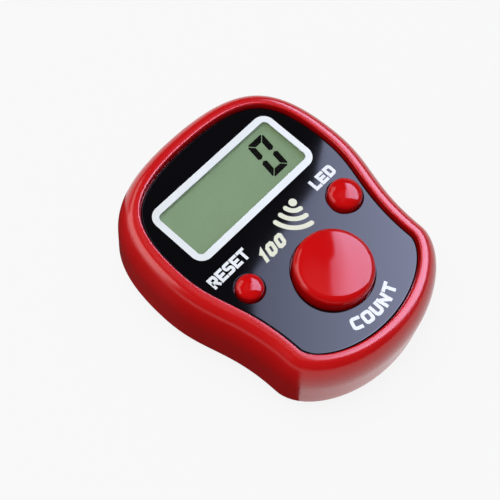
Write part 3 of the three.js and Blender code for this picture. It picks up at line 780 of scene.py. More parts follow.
@dataclass(frozen=True)
class Key:
    """One button's shape, in millimetres.

    Attributes:
        name: the button's name.
        body: the body that it rides on.
        radius: radius of what shows of it.
        rise: height above the panel at which its edge starts to turn.
        edge_round: radius of that edge.
        crown: angle at the dome's edge, in degrees.
        clearance: gap round it in its hole.
        wall: thickness of a hollow button's wall.
        stem: radius of the stem under a hollow button.
        flange_overlap: how far the flange reaches under the deck.
        flange_thickness: thickness of the flange.
        steps: steps of the edge and of the dome.
    """

    name: str
    body: Body
    radius: float
    rise: float
    edge_round: float
    crown: float
    clearance: float = 0.2
    wall: float = 1.1
    stem: float = 1.1
    flange_overlap: float = 0.7
    flange_thickness: float = 0.9
    steps: int = 16

    def centre(self) -> Spot:
        """Where the button stands."""
        return middle_of(f"{self.name}_button")

    def hole(self) -> CircleLoop:
        """The hole that it stands in."""
        return CircleLoop(self.centre(), self.radius + self.clearance)

    def profile(self, face: float) -> list[tuple[float, float]]:
        """Works out the section from the axis underneath, round the outside, to the top.

        Args:
            face: height of the panel's top.

        Returns:
            Radius and height pairs.
        """
        low = bottom_of(f"{self.name}_button")
        crown, edge = math.radians(self.crown), face + self.rise
        dome = (self.radius - self.edge_round) / math.sin(crown) + self.edge_round
        dome_centre = edge + (self.edge_round - dome) * math.cos(crown)
        roof = edge + self.edge_round - self.wall
        inner = self.radius - self.wall
        flange = self.radius + self.clearance + self.flange_overlap
        shelf = low + self.flange_thickness
        profile = [(0.0, low)]
        if inner > 2 * self.stem:
            profile += [(self.stem, low), (self.stem, roof), (inner, roof), (inner, low)]
        profile += [(flange, low), (flange, shelf), (self.radius, shelf)]
        for step in range(self.steps + 1):
            lean = math.pi / 2 + (crown - math.pi / 2) * step / self.steps
            out = self.radius - self.edge_round + self.edge_round * math.sin(lean)
            profile.append((out, edge + self.edge_round * math.cos(lean)))
        for step in range(1, self.steps):
            lean = crown * (1 - step / self.steps)
            profile.append((dome * math.sin(lean), dome_centre + dome * math.cos(lean)))
        return [*profile, (0.0, dome_centre + dome)]


KEYS = (
    Key("count", Body.COUNT, 4.7, 0.95, 1.1, 15),
    Key("led", Body.LED, 2.05, 0.45, 0.85, 34),
    Key("reset", Body.RESET, 1.6, 0.35, 0.7, 34),
)


@dataclass
class Case:
    """The two shells and the screws that hold them together, in millimetres.

    Attributes:
        bottom_round: radius of the edge at the shell's foot.
        bottom_steps: steps of that edge.
        wall: thickness of the side wall.
        wall_shares: where the straight wall has a row of points, from the shoulder down.
        shoulder_height: height of the rounded shoulder.
        shoulder_steps: steps of the shoulder.
        crest_inset: how far in the shoulder ends.
        edge_round: radius of the rim's inner edge.
        edge_steps: steps of that edge.
        panel_inset: how far in the rim ends.
        deck_thickness: thickness of the deck under the panel.
        deck_drop: how far the deck lies under the panel's top.
        glass_clearance: gap round the display's glass.
        glass_corner: radius of that opening's corners.
        screws: how many case screws there are.
        boss_radius: radius of a screw's boss.
        boss_steps: steps of a boss's full turn.
        boss_foot: height of a boss's foot over the shell's.
        boss_bite: how far a boss runs into the deck.
        pilot_radius: radius of the hole in a boss.
        pilot_stop: how far under the deck that hole ends.
        cover_edge: width of the back cover's rounded edges.
        screw_edge: width of a screw's rounded edges.
    """

    bottom_round: float = 1.0
    bottom_steps: int = 10
    wall: float = 1.6
    wall_shares: tuple[float, ...] = (0.75, 0.5, 0.25, 0.0)
    shoulder_height: float = 4.6
    shoulder_steps: int = 28
    crest_inset: float = 2.2
    edge_round: float = 0.2
    edge_steps: int = 8
    panel_inset: float = 2.58
    deck_thickness: float = 1.35
    deck_drop: float = 0.55
    glass_clearance: float = 0.15
    glass_corner: float = 0.3
    screws: int = 4
    boss_radius: float = 1.4
    boss_steps: int = 32
    boss_foot: float = 1.05
    boss_bite: float = 0.3
    pilot_radius: float = 0.85
    pilot_stop: float = 0.1
    cover_edge: float = 0.09
    screw_edge: float = 0.05

    def build(self) -> None:
        """Builds the case."""
        self.front_shell()
        cover = refined("back_cover", self.cover_edge)
        settle("cover_moulding", cover, RED_BACK.build(), Body.CASE, Slot.SHELL, ["back_cover"], 1.0)
        for node in self.screw_nodes():
            screw = refined(node, self.screw_edge)
            settle(f"{node}_turned", screw, STEEL.build(), Body.CASE, Slot.STEEL, [node], 1.0)

    def screw_nodes(self) -> list[str]:
        """The case screws' nodes."""
        return [f"case_screw_{number}" for number in range(1, self.screws + 1)]

    def front_shell(self) -> None:
        """Moulds the side wall, shoulder, rim and deck in one, with the screw bosses."""
        bm = bmesh.new()
        foot, rim = bottom_of("front_shell"), top_of("front_shell")
        deck_top = top_of("face_panel") - self.deck_drop
        deck_low = deck_top - self.deck_thickness
        shoulder = rim - self.shoulder_height
        crest = (self.crest_inset, rim)
        brow = (self.panel_inset - self.edge_round, rim)
        levels = [(self.wall, foot), (self.bottom_round, foot)]
        heel = (0.0, foot + self.bottom_round)
        levels += round_levels((self.bottom_round, foot), heel, (0.0, foot), self.bottom_steps)
        straight = shoulder - foot - self.bottom_round
        levels += [(0.0, shoulder - straight * share) for share in self.wall_shares]
        levels += round_levels((0.0, shoulder), crest, (0.0, rim), self.shoulder_steps)
        levels.append(brow)
        lip = (self.panel_inset, rim - self.edge_round)
        levels += round_levels(brow, lip, (self.panel_inset, rim), self.edge_steps)
        levels.append((self.panel_inset, deck_top))
        inner = draw_ring(bm, OUTLINE, (self.wall, deck_low))
        outer = carry_ring(bm, inner, OUTLINE, levels)
        low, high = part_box("display_upper_glass")
        width = (high.x - low.x) / MM + 2 * self.glass_clearance
        height = (high.y - low.y) / MM + 2 * self.glass_clearance
        window = RectangleLoop(
            middle_of("display_upper_glass"), width, height, self.glass_corner
        )
        holes = [window, *[key.hole() for key in KEYS]]
        lower = [draw_ring(bm, hole, (0.0, deck_low)) for hole in holes]
        upper = [carry_ring(bm, ring, hole, [(0.0, deck_top)]) for ring, hole in zip(lower, holes)]
        close_flat(bm, [outer, *upper])
        close_flat(bm, [inner, *lower])
        self.bosses(bm, deck_low)
        settle("shell_moulding", bm, RED_SHELL.build(), Body.CASE, Slot.SHELL, ["front_shell"])

    def bosses(self, bm: bmesh.types.BMesh, deck_low: float) -> None:
        """Adds the hollow bosses that the case screws bite into.

        Args:
            bm: the shell's mesh.
            deck_low: height of the deck's underside.
        """
        foot = bottom_of("front_shell") + self.boss_foot
        for node in self.screw_nodes():
            boss = CircleLoop(middle_of(node), self.boss_radius, self.boss_steps)
            pilot = CircleLoop(middle_of(node), self.pilot_radius, self.boss_steps)
            outer_low = draw_ring(bm, boss, (0.0, foot))
            outer_top = carry_ring(bm, outer_low, boss, [(0.0, deck_low + self.boss_bite)])
            inner_low = draw_ring(bm, pilot, (0.0, foot))
            inner_top = carry_ring(bm, inner_low, pilot, [(0.0, deck_low - self.pilot_stop)])
            close_flat(bm, [outer_low, inner_low])
            close_flat(bm, [outer_top])
            close_flat(bm, [inner_top])


@dataclass
class Face:
    """The black panel on the deck and the white border printed on it, in millimetres.

    Attributes:
        inset: how far in from the case outline the panel ends.
        edge: radius of its outer edge.
        hole_edge: radius of its holes' edges.
        window_width: width of the window's opening.
        window_height: height of that opening.
        window_corner: radius of its corners.
        border_width: width of the printed border.
        border_height: height of the printed border.
        border_corner: radius of its corners.
        print_overlap: how far the border reaches into the opening.
        ink: thickness of the print.
    """

    inset: float = 2.7
    edge: float = 0.28
    hole_edge: float = 0.07
    window_width: float = 18.3
    window_height: float = 7.0
    window_corner: float = 0.67
    border_width: float = 19.87
    border_height: float = 8.75
    border_corner: float = 1.56
    print_overlap: float = 0.03
    ink: float = 0.018

    def build(self) -> None:
        """Builds the panel and its border."""
        top = top_of("face_panel")
        bottom = bottom_of("face_panel")
        window = self.window_loop()
        holes = [window, *[key.hole() for key in KEYS]]
        sheet = plate(PanelLoop(self.inset), holes, bottom, top, self.edge, self.hole_edge)
        settle("panel_sheet", sheet, BLACK_PANEL.build(), Body.CASE, Slot.PANEL, ["face_panel"])
        outer = RectangleLoop(
            window.centre, self.border_width, self.border_height, self.border_corner
        )
        gap = RectangleLoop(
            window.centre,
            self.window_width - 2 * self.print_overlap,
            self.window_height - 2 * self.print_overlap,
            self.window_corner - self.print_overlap,
        )
        border = plate(outer, [gap], top, top + self.ink, self.ink / 3)
        settle("window_border", border, WHITE_PRINT.build(), Body.CASE, Slot.WHITE)

    def window_loop(self) -> RectangleLoop:
        """The window's opening."""
        centre = middle_of("display_window")
        return RectangleLoop(centre, self.window_width, self.window_height, self.window_corner)


@dataclass(frozen=True)
class PanelLoop(Loop):
    """The case outline drawn in to the panel's edge.

    Attributes:
        inset: how far in that is, in millimetres.
    """

    inset: float

    def at(self, inset: float) -> list[Vector]:
        """Points of the panel's edge moved inwards by inset."""
        return OUTLINE.at(self.inset + inset)


@dataclass(frozen=True)
class Stroke:
    """One stroke of a letter, drawn in a square from 0 to 1.

    Attributes:
        points: where its middle line turns.
        closed: whether it runs round to its start.
        joined: whether it starts at the side of another stroke.
        soft: which turns are rounded; all of them if left out.
    """

    points: tuple[Spot, ...]
    closed: bool = False
    joined: bool = False
    soft: tuple[int, ...] = (0, 1, 2, 3, 4, 5, 6, 7)


RING = Stroke(((0, 0), (1, 0), (1, 1), (0, 1)), closed=True)
LETTERS = {
    "C": (Stroke(((0.92, 1), (0, 1), (0, 0), (0.92, 0))),),
    "O": (RING,),
    "0": (RING,),
    "U": (Stroke(((0, 1), (0, 0), (1, 0), (1, 1))),),
    "N": (
        Stroke(((0, 0), (0, 1))),
        Stroke(((1, 0), (1, 1))),
        Stroke(((0, 1), (0.85, 0.15)), joined=True),
    ),
    "T": (Stroke(((0, 1), (1, 1))), Stroke(((0.5, 1), (0.5, 0)), joined=True)),
    "R": (
        Stroke(((0, 0), (0, 1), (1, 1), (1, 0.42), (0.2, 0.42)), soft=(2, 3)),
        Stroke(((0.5, 0.42), (0.95, 0)), joined=True),
    ),
    "E": (
        Stroke(((1, 1), (0, 1), (0, 0), (1, 0)), soft=()),
        Stroke(((0, 0.5), (0.85, 0.5)), joined=True),
    ),
    "S": (Stroke(((1, 1), (0, 1), (0, 0.5), (1, 0.5), (1, 0), (0, 0))),),
    "L": (Stroke(((0, 1), (0, 0), (1, 0)), soft=()),),
    "D": (Stroke(((0, 0), (1, 0), (1, 1), (0, 1)), closed=True, soft=(1, 2)),),
    "1": (Stroke(((0.3, 0.88), (0.6, 1), (0.6, 0)), soft=()),),
}


@dataclass(frozen=True)
class Letter:
    """One letter's place on the panel, in millimetres.

    Attributes:
        sign: which letter it is.
        x: its middle across the panel.
        y: its middle along the panel.
        width: its outer width.
        turn: how far it is turned, in degrees.
    """

    sign: str
    x: float
    y: float
    width: float
    turn: float = 0.0


@dataclass(frozen=True)
class Word:
    """A word or number printed on the panel in a square bold hand.

    Attributes:
        name: the piece's name.
        letters: its letters.
        height: how tall they are, in millimetres.
        stroke: how thick their strokes are.
        finish: the print's finish.
        slant: how far they lean, as a share of the height.
        corner: how far in from a corner its rounding starts.
        steps: how many steps that rounding has; 1 cuts it straight.
        crowding: how many roundings must fit on a stroke.
        ink: thickness of the print.
        joined_ink: a joined stroke's thickness as a share of it, so that no two tops meet.
    """

    name: str
    letters: tuple[Letter, ...]
    height: float
    stroke: float
    finish: Finish
    slant: float = 0.0
    corner: float = 0.3
    steps: int = 4
    crowding: float = 2.1
    ink: float = 0.02
    joined_ink: float = 0.8

    def build(self, face: float) -> None:
        """Prints the word.

        Args:
            face: height of the panel's top.
        """
        bm = bmesh.new()
        lean = Matrix(((1, self.slant, 0, 0), (0, 1, 0, 0), (0, 0, 1, 0), (0, 0, 0, 1)))
        for letter in self.letters:
            turn = Matrix.Rotation(math.radians(letter.turn), 4, "Z")
            place = Matrix.Translation((letter.x, letter.y, 0)) @ turn @ lean
            for stroke in LETTERS[letter.sign]:
                line = self.middle_line(stroke, letter.width)
                top = self.ink * (self.joined_ink if stroke.joined else 1.0)
                ribbon(bm, line, stroke.closed, self.stroke / 2, face, face + top, place)
        settle(self.name, bm, self.finish.build(), Body.CASE, Slot.WHITE)

    def middle_line(self, stroke: Stroke, width: float) -> list[Vector]:
        """Draws a stroke's middle line at its real size round the origin.

        Args:
            stroke: the stroke.
            width: the letter's outer width.

        Returns:
            Its points, with rounded turns and with its ends run out to the letter's edge.
        """
        across, up = width - self.stroke, self.height - self.stroke
        corners = [Vector(((x - 0.5) * across, (y - 0.5) * up)) for x, y in stroke.points]
        if not stroke.closed:
            first = (corners[0] - corners[1]).normalized() * self.stroke / 2
            corners[0] = corners[0] - first if stroke.joined else corners[0] + first
            corners[-1] = corners[-1] + (corners[-1] - corners[-2]).normalized() * self.stroke / 2
        line = []
        for i, corner in enumerate(corners):
            inside = stroke.closed or 0 < i < len(corners) - 1
            if not inside or i not in stroke.soft:
                line.append(corner)
                continue
            before, after = corners[i - 1], corners[(i + 1) % len(corners)]
            shorter = min((before - corner).length, (after - corner).length)
            reach = min(self.corner, shorter / self.crowding)
            start = corner + (before - corner).normalized() * reach
            end = corner + (after - corner).normalized() * reach
            for step in range(self.steps + 1):
                share = step / self.steps
                line.append(start.lerp(corner, share).lerp(corner.lerp(end, share), share))
        return line


def ribbon(
    bm: bmesh.types.BMesh,
    line: Sequence[Vector],
    closed: bool,
    half: float,
    bottom: float,
    top: float,
    place: Matrix,
) -> None:
    """Adds a flat band of even width along a line.

    Args:
        bm: the mesh.
        line: the band's middle line.
        closed: whether it runs round to its start.
        half: half its width.
        bottom: height of its underside.
        top: height of its top.
        place: where it goes.
    """
    count = len(line)
    pairs = []
    for i, point in enumerate(line):
        back = (point - line[i - 1]).normalized() if closed or i else None
        ahead = (line[(i + 1) % count] - point).normalized() if closed or i < count - 1 else None
        along = ((back or ahead) + (ahead or back)).normalized()
        mitre = max(along.dot(ahead or back), SHARPEST_MITRE)
        side = Vector((-along.y, along.x)) * half / mitre
        pairs.append((point + side, point - side))
    edge = bm.edges.new([bm.verts.new((p.x, p.y, 0)) for p in pairs[0]])
    verts, faces = list(edge.verts), []
    for pair in pairs[1:] + pairs[:1] * closed:
        made = bmesh.ops.extrude_edge_only(bm, edges=[edge])["geom"]
        fresh = {item for item in made if isinstance(item, bmesh.types.BMVert)}
        verts = [
            next(e.other_vert(v) for e in v.link_edges if e.other_vert(v) in fresh) for v in verts
        ]
        for vert, point in zip(verts, pair):
            vert.co = (point.x, point.y, 0)
        edge = bm.edges.get(verts)
        faces += [item for item in made if isinstance(item, bmesh.types.BMFace)]
    flat = list({vert for face in faces for vert in face.verts})
    if closed:
        bmesh.ops.remove_doubles(bm, verts=flat, dist=WELD)
    lift = Matrix.Translation((0, 0, bottom))
    bmesh.ops.transform(bm, matrix=lift @ place, verts=[v for v in flat if v.is_valid])
    raised = bmesh.ops.extrude_face_region(bm, geom=faces, use_keep_orig=True)["geom"]
    lifted = [item for item in raised if isinstance(item, bmesh.types.BMVert)]
    bmesh.ops.translate(bm, vec=(0, 0, top - bottom), verts=lifted)


def prism(bm: bmesh.types.BMesh, points: Sequence[Vector], bottom: float, top: float) -> None:
    """Adds an upright prism.

    Args:
        bm: the mesh.
        points: the closed line that it stands on.
        bottom: height of its underside.
        top: height of its top.
    """
    face = bm.faces.new([bm.verts.new((p.x, p.y, bottom)) for p in points])
    raised = bmesh.ops.extrude_face_region(bm, geom=[face])["geom"]
    verts = [item for item in raised if isinstance(item, bmesh.types.BMVert)]
    bmesh.ops.translate(bm, vec=(0, 0, top - bottom), verts=verts)


WORDS = (
    Word(
        "word_count",
        (
            Letter("C", -2.97, -13.3, 1.36, -23),
            Letter("O", -1.52, -13.7, 1.36, -10),
            Letter("U", -0.1, -13.83, 1.25, 0),
            Letter("N", 1.34, -13.72, 1.34, 11),
            Letter("T", 2.84, -13.22, 1.36, 25),
        ),
        height=1.56,
        stroke=0.42,
        finish=WHITE_PRINT,
    ),
    Word(
        "word_reset",
        (
            Letter("R", -10.42, 1.35, 1.1),
            Letter("E", -9.22, 1.35, 1.08),
            Letter("S", -8.05, 1.35, 1.1),
            Letter("E", -6.86, 1.35, 1.08),
            Letter("T", -5.67, 1.35, 1.14),
        ),
        height=1.5,
        stroke=0.36,
        finish=WHITE_PRINT,
        corner=0.22,
    ),
    Word(
        "word_led",
        (
            Letter("L", 6.93, 1.45, 1.05),
            Letter("E", 8.12, 1.45, 1.15),
            Letter("D", 9.43, 1.45, 1.18),
        ),
        height=1.5,
        stroke=0.4,
        finish=WHITE_PRINT,
        corner=0.28,
    ),
    Word(
        "number_100",
        (
            Letter("1", -4.15, -0.47, 1.0),
            Letter("0", -2.88, -0.47, 1.27),
            Letter("0", -1.42, -0.47, 1.27),
        ),
        height=1.65,
        stroke=0.48,
        finish=CREAM_PRINT,
        slant=0.28,
        corner=0.17,
        steps=1,
    ),
)


@dataclass
class SoundSign:
    """A dot with three arcs under it, in millimetres and degrees.

    Attributes:
        centre: what the arcs go round.
        heading: the way that they open.
        dot: radius of the dot.
        dot_reach: how far from the centre the dot lies.
        dot_steps: steps of the dot's full turn.
        radii: the arcs' radii.
        spread: half of each arc's turn.
        stroke: how thick the arcs are.
        arc_steps: steps of an arc.
        end_steps: steps of its round end.
        ink: thickness of the print.
    """

    centre: Spot = (3.5, 1.98)
    heading: float = -136.0
    dot: float = 0.5
    dot_reach: float = 0.34
    dot_steps: int = 40
    radii: tuple[float, float, float] = (1.4, 2.47, 3.6)
    spread: tuple[float, float, float] = (38.6, 37.1, 35.5)
    stroke: float = 0.58
    arc_steps: int = 24
    end_steps: int = 8
    ink: float = 0.02

    def build(self, height: float) -> None:
        """Prints the sign.

        Args:
            height: height of the panel's top.
        """
        bm = bmesh.new()
        heading = math.radians(self.heading)
        middle = Vector(self.centre)
        dot = middle + Vector((math.cos(heading), math.sin(heading))) * self.dot_reach
        lines = [CircleLoop((dot.x, dot.y), self.dot, self.dot_steps).at(0.0)]
        for radius, spread in zip(self.radii, self.spread):
            lines.append(self.arc(middle, radius, heading, math.radians(spread)))
        for line in lines:
            prism(bm, line, height, height + self.ink)
        settle("sound_sign", bm, CREAM_PRINT.build(), Body.CASE, Slot.WHITE)

    def arc(self, middle: Vector, radius: float, heading: float, spread: float) -> list[Vector]:
        """Draws the closed line round one arc with round ends.

        Args:
            middle: what the arc goes round.
            radius: radius of its middle line.
            heading: the way that it opens.
            spread: half of its turn.

        Returns:
            The line's points, anticlockwise.
        """
        half = self.stroke / 2
        points = []
        for side, start in ((1, 0.0), (-1, math.pi)):
            for step in range(self.arc_steps + 1):
                angle = heading + side * spread * (2 * step / self.arc_steps - 1)
                reach = radius + side * half
                points.append(middle + Vector((math.cos(angle), math.sin(angle))) * reach)
            end = heading + side * spread
            tip = middle + Vector((math.cos(end), math.sin(end))) * radius
            for step in range(1, self.end_steps):
                angle = end + start + math.pi * step / self.end_steps
                points.append(tip + Vector((math.cos(angle), math.sin(angle))) * half)
        return points


@dataclass
class Display:
    """The clear pane, the display's film and its one digit, in millimetres.

    Attributes:
        pane_slack: gap round the pane in its opening.
        pane_edge: radius of the pane's edge.
        film_thickness: thickness of the film on the glass.
        film_margin: how far the film reaches past the opening.
        film_corner: radius of its corners.
        film_edge: radius of its edge.
        ink: thickness of the segments.
        digit_centre: the digit's middle.
        digit_width: its width.
        digit_height: its height.
        slant: how far it leans, as a share of the height.
        stroke: how thick its segments are.
        split: gap between two segments.
        chamfer: how much is cut off the digit's corners.
        tip: half of the gap between the upper and lower segments.
        tip_slope: how far their points taper.
        segment_round: radius of the segments' corners.
        segment_steps: steps of that radius.
    """

    pane_slack: float = 0.04
    pane_edge: float = 0.03
    film_thickness: float = 0.05
    film_margin: float = 0.35
    film_corner: float = 0.2
    film_edge: float = 0.01
    ink: float = 0.012
    digit_centre: Spot = (6.05, 8.12)
    digit_width: float = 2.65
    digit_height: float = 5.05
    slant: float = 0.15
    stroke: float = 0.78
    split: float = 0.1
    chamfer: float = 0.28
    tip: float = 0.13
    tip_slope: float = 0.24
    segment_round: float = 0.05
    segment_steps: int = 3

    def build(self, face: Face) -> None:
        """Builds the display.

        Args:
            face: the panel that its window is in.
        """
        window = face.window_loop()
        pane_loop = RectangleLoop(
            window.centre,
            window.width - 2 * self.pane_slack,
            window.height - 2 * self.pane_slack,
            window.corner,
        )
        low, high = bottom_of("display_window"), top_of("display_window")
        pane = plate(pane_loop, [], low, high, self.pane_edge)
        settle("window_pane", pane, CLEAR_WINDOW.build(), Body.CASE, Slot.WINDOW, ["display_window"])
        glass_top = top_of("display_upper_glass")
        film_loop = RectangleLoop(
            window.centre,
            window.width + 2 * self.film_margin,
            window.height + 2 * self.film_margin,
            self.film_corner,
        )
        film = plate(film_loop, [], glass_top, glass_top + self.film_thickness, self.film_edge)
        settle("display_film", film, DISPLAY_FILM.build(), Body.CASE, Slot.DISPLAY)
        self.digit(glass_top + self.film_thickness)

    def digit(self, height: float) -> None:
        """Lights the six segments of a nought.

        Args:
            height: height of the film that the segments show on.
        """
        bm = bmesh.new()
        right, high = self.digit_width / 2, self.digit_height / 2
        cut, taper = self.chamfer, self.tip + self.tip_slope
        inside = right - self.stroke
        out, gap = self.split / 2 / math.sqrt(2), self.split / math.sqrt(2)
        half_top = [
            (right - cut, high),
            (right - cut / 2 - out, high - cut / 2 + out),
            (inside - gap, high - self.stroke),
        ]
        top = [*half_top, *[(-x, y) for x, y in reversed(half_top)]]
        side = [
            (right - cut / 2 + out, high - cut / 2 - out),
            (right, high - cut),
            (right, taper),
            (right - self.stroke / 2, self.tip),
            (inside, taper),
            (inside, high - self.stroke - gap),
        ]
        shapes = []
        for flip_y in (1, -1):
            shapes.append([(x, y * flip_y) for x, y in top])
            for flip_x in (1, -1):
                shapes.append([(x * flip_x, y * flip_y) for x, y in side])
        for shape in shapes:
            points = [Vector((x + y * self.slant, y)) + Vector(self.digit_centre) for x, y in shape]
            prism(bm, points, height, height + self.ink)
        upright = [e for e in bm.edges if abs(e.verts[0].co.z - e.verts[1].co.z) > self.ink / 2]
        bmesh.ops.bevel(
            bm,
            geom=upright,
            offset=self.segment_round,
            affect="EDGES",
            segments=self.segment_steps,
            profile=0.5,
            material=-1,
            clamp_overlap=True,
        )
        settle("digit_segments", bm, SEGMENT_INK.build(), Body.CASE, Slot.BLACK)


@dataclass
class Keys:
    """The three red buttons.

    Attributes:
        steps: steps of a button's full turn.
    """

    steps: int = 144

    def build(self) -> None:
        """Turns the buttons."""
        face = top_of("face_panel")
        for key in KEYS:
            cap, node = turned(key.profile(face), key.centre(), self.steps), f"{key.name}_button"
            settle(f"{key.name}_cap", cap, RED_KEY.build(), key.body, Slot.BUTTON, [node])


def dress(finishes: dict[Finish, list[str]]) -> None:
    """Gives carried-over nodes their finishes.

    Args:
        finishes: the nodes that get each finish.
    """
    for finish, names in finishes.items():
        for name in names:
            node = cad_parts[name]
            node.data.materials.clear()
            node.data.materials.append(finish.build())
            log.info("%s: dressed in %s", name, finish.name)


@dataclass
class Battery:
    """The hatch, its screws and the cells and contacts behind it, in millimetres.

    Attributes:
        hatch_edge: width of the hatch's rounded edges.
        screw_edge: width of a screw's rounded edges.
        cell_edge: width of a cell's rounded edges.
    """

    hatch_edge: float = 0.07
    screw_edge: float = 0.05
    cell_edge: float = 0.08

    def build(self) -> None:
        """Refines the hatch, its screws and the cells, and dresses the contacts."""
        steel = STEEL.build()
        lid = refined("battery_hatch", self.hatch_edge)
        settle("hatch_lid", lid, RED_BACK.build(), Body.HATCH, Slot.SHELL, ["battery_hatch"], 1.0)
        for number in (1, 2):
            node = f"hatch_screw_{number}"
            screw = refined(node, self.screw_edge)
            settle(f"{node}_turned", screw, steel, Body.HATCH, Slot.STEEL, [node], 1.0)
            node = f"battery_cell_{number}"
            cell = refined(node, self.cell_edge)
            settle(f"button_cell_{number}", cell, steel, Body.CASE, Slot.STEEL, [node], 1.0)
        dress({BRASS: ["battery_link", "battery_contact_1", "battery_contact_2"]})


class Works:
    """What else the case holds: board, switches, display parts and buzzer."""

    def build(self) -> None:
        """Dresses the nodes."""
        switches = ["count_switch", "led_switch", "reset_switch"]
        dress(
            {
                BOARD: ["circuit_board"],
                EPOXY: ["chip_blob"],
                CERAMIC: ["resistor_1", "resistor_2", "capacitor_1", "buzzer_ceramic"],
                RUBBER: ["contact_strip"],
                DISPLAY_GLASS: ["display_upper_glass", "display_lower_glass"],
                WHITE_PLASTIC: ["light_guide", "backlight_lamp", "display_holder"]
                + [f"{name}_plunger" for name in switches],
                BLACK_PLASTIC: [f"{name}_base" for name in switches],
                STEEL: [f"{name}_cover" for name in switches] + ["buzzer_lead_1", "buzzer_lead_2"],
                BRASS: ["buzzer_plate"],
            }
        )


class Seen(Enum):
    """Which rays a lamp answers."""

    BOTH = "both"
    MATT = "matt"
    GLOSS = "gloss"


def stand(holder: bpy.types.Object, place: Point, right: Vector, up: Vector) -> None:
    """Places a lamp or a camera and links it; both look along their own -Z.

    Args:
        holder: the object.
        place: where it stands, in millimetres.
        right: the way of its own X.
        up: the way of its own Y.
    """
    axes = Matrix((right, up, right.cross(up))).transposed()
    holder.matrix_world = Matrix.LocRotScale(Vector(place) * MM, axes, None)
    bpy.context.scene.collection.objects.link(holder)


@dataclass(frozen=True)
class SoftBox:
    """A flat lamp that the camera doesn't see.

    Attributes:
        name: the lamp's name.
        centre: its middle, in millimetres.
        aim: what it faces, in millimetres.
        along: the direction of its longer side.
        size: its two sides, in millimetres.
        radiance: how bright its face is, where 1 is white.
        colour: its light's colour.
        seen: which rays it answers.
    """

    name: str
    centre: Point
    aim: Point
    along: Point
    size: tuple[float, float]
    radiance: float
    colour: Colour = (1.0, 1.0, 1.0)
    seen: Seen = Seen.BOTH

    def build(self) -> None:
        """Hangs the lamp."""
        lamp = bpy.data.lights.new(self.name, "AREA")
        lamp.shape = "RECTANGLE"
        lamp.size, lamp.size_y = self.size[0] * MM, self.size[1] * MM
        lamp.energy = self.radiance * math.pi * lamp.size * lamp.size_y
        lamp.color = self.colour
        holder = bpy.data.objects.new(self.name, lamp)
        down = (Vector(self.aim) - Vector(self.centre)).normalized()
        across = (Vector(self.along) - down * down.dot(Vector(self.along))).normalized()
        stand(holder, self.centre, across, (-down).cross(across))
        holder.visible_camera = False
        holder.visible_diffuse = self.seen is not Seen.GLOSS
        holder.visible_glossy = self.seen is not Seen.MATT
        holder.visible_transmission = self.seen is Seen.BOTH


@dataclass(frozen=True)
class Card:
    """A card that lies on the floor along part of the case.

    Attributes:
        name: the card's name.
        start: where it starts, as an angle round the case in degrees.
        end: where it ends.
        colour: its glow's colour, the tint of the painted shade.
        glow: how strong its glow is, where 1 is white; kept low, as it is painted shade.
        seen: which rays see it.
    """

    name: str
    start: float
    end: float
    colour: Colour
    glow: float
    seen: Seen


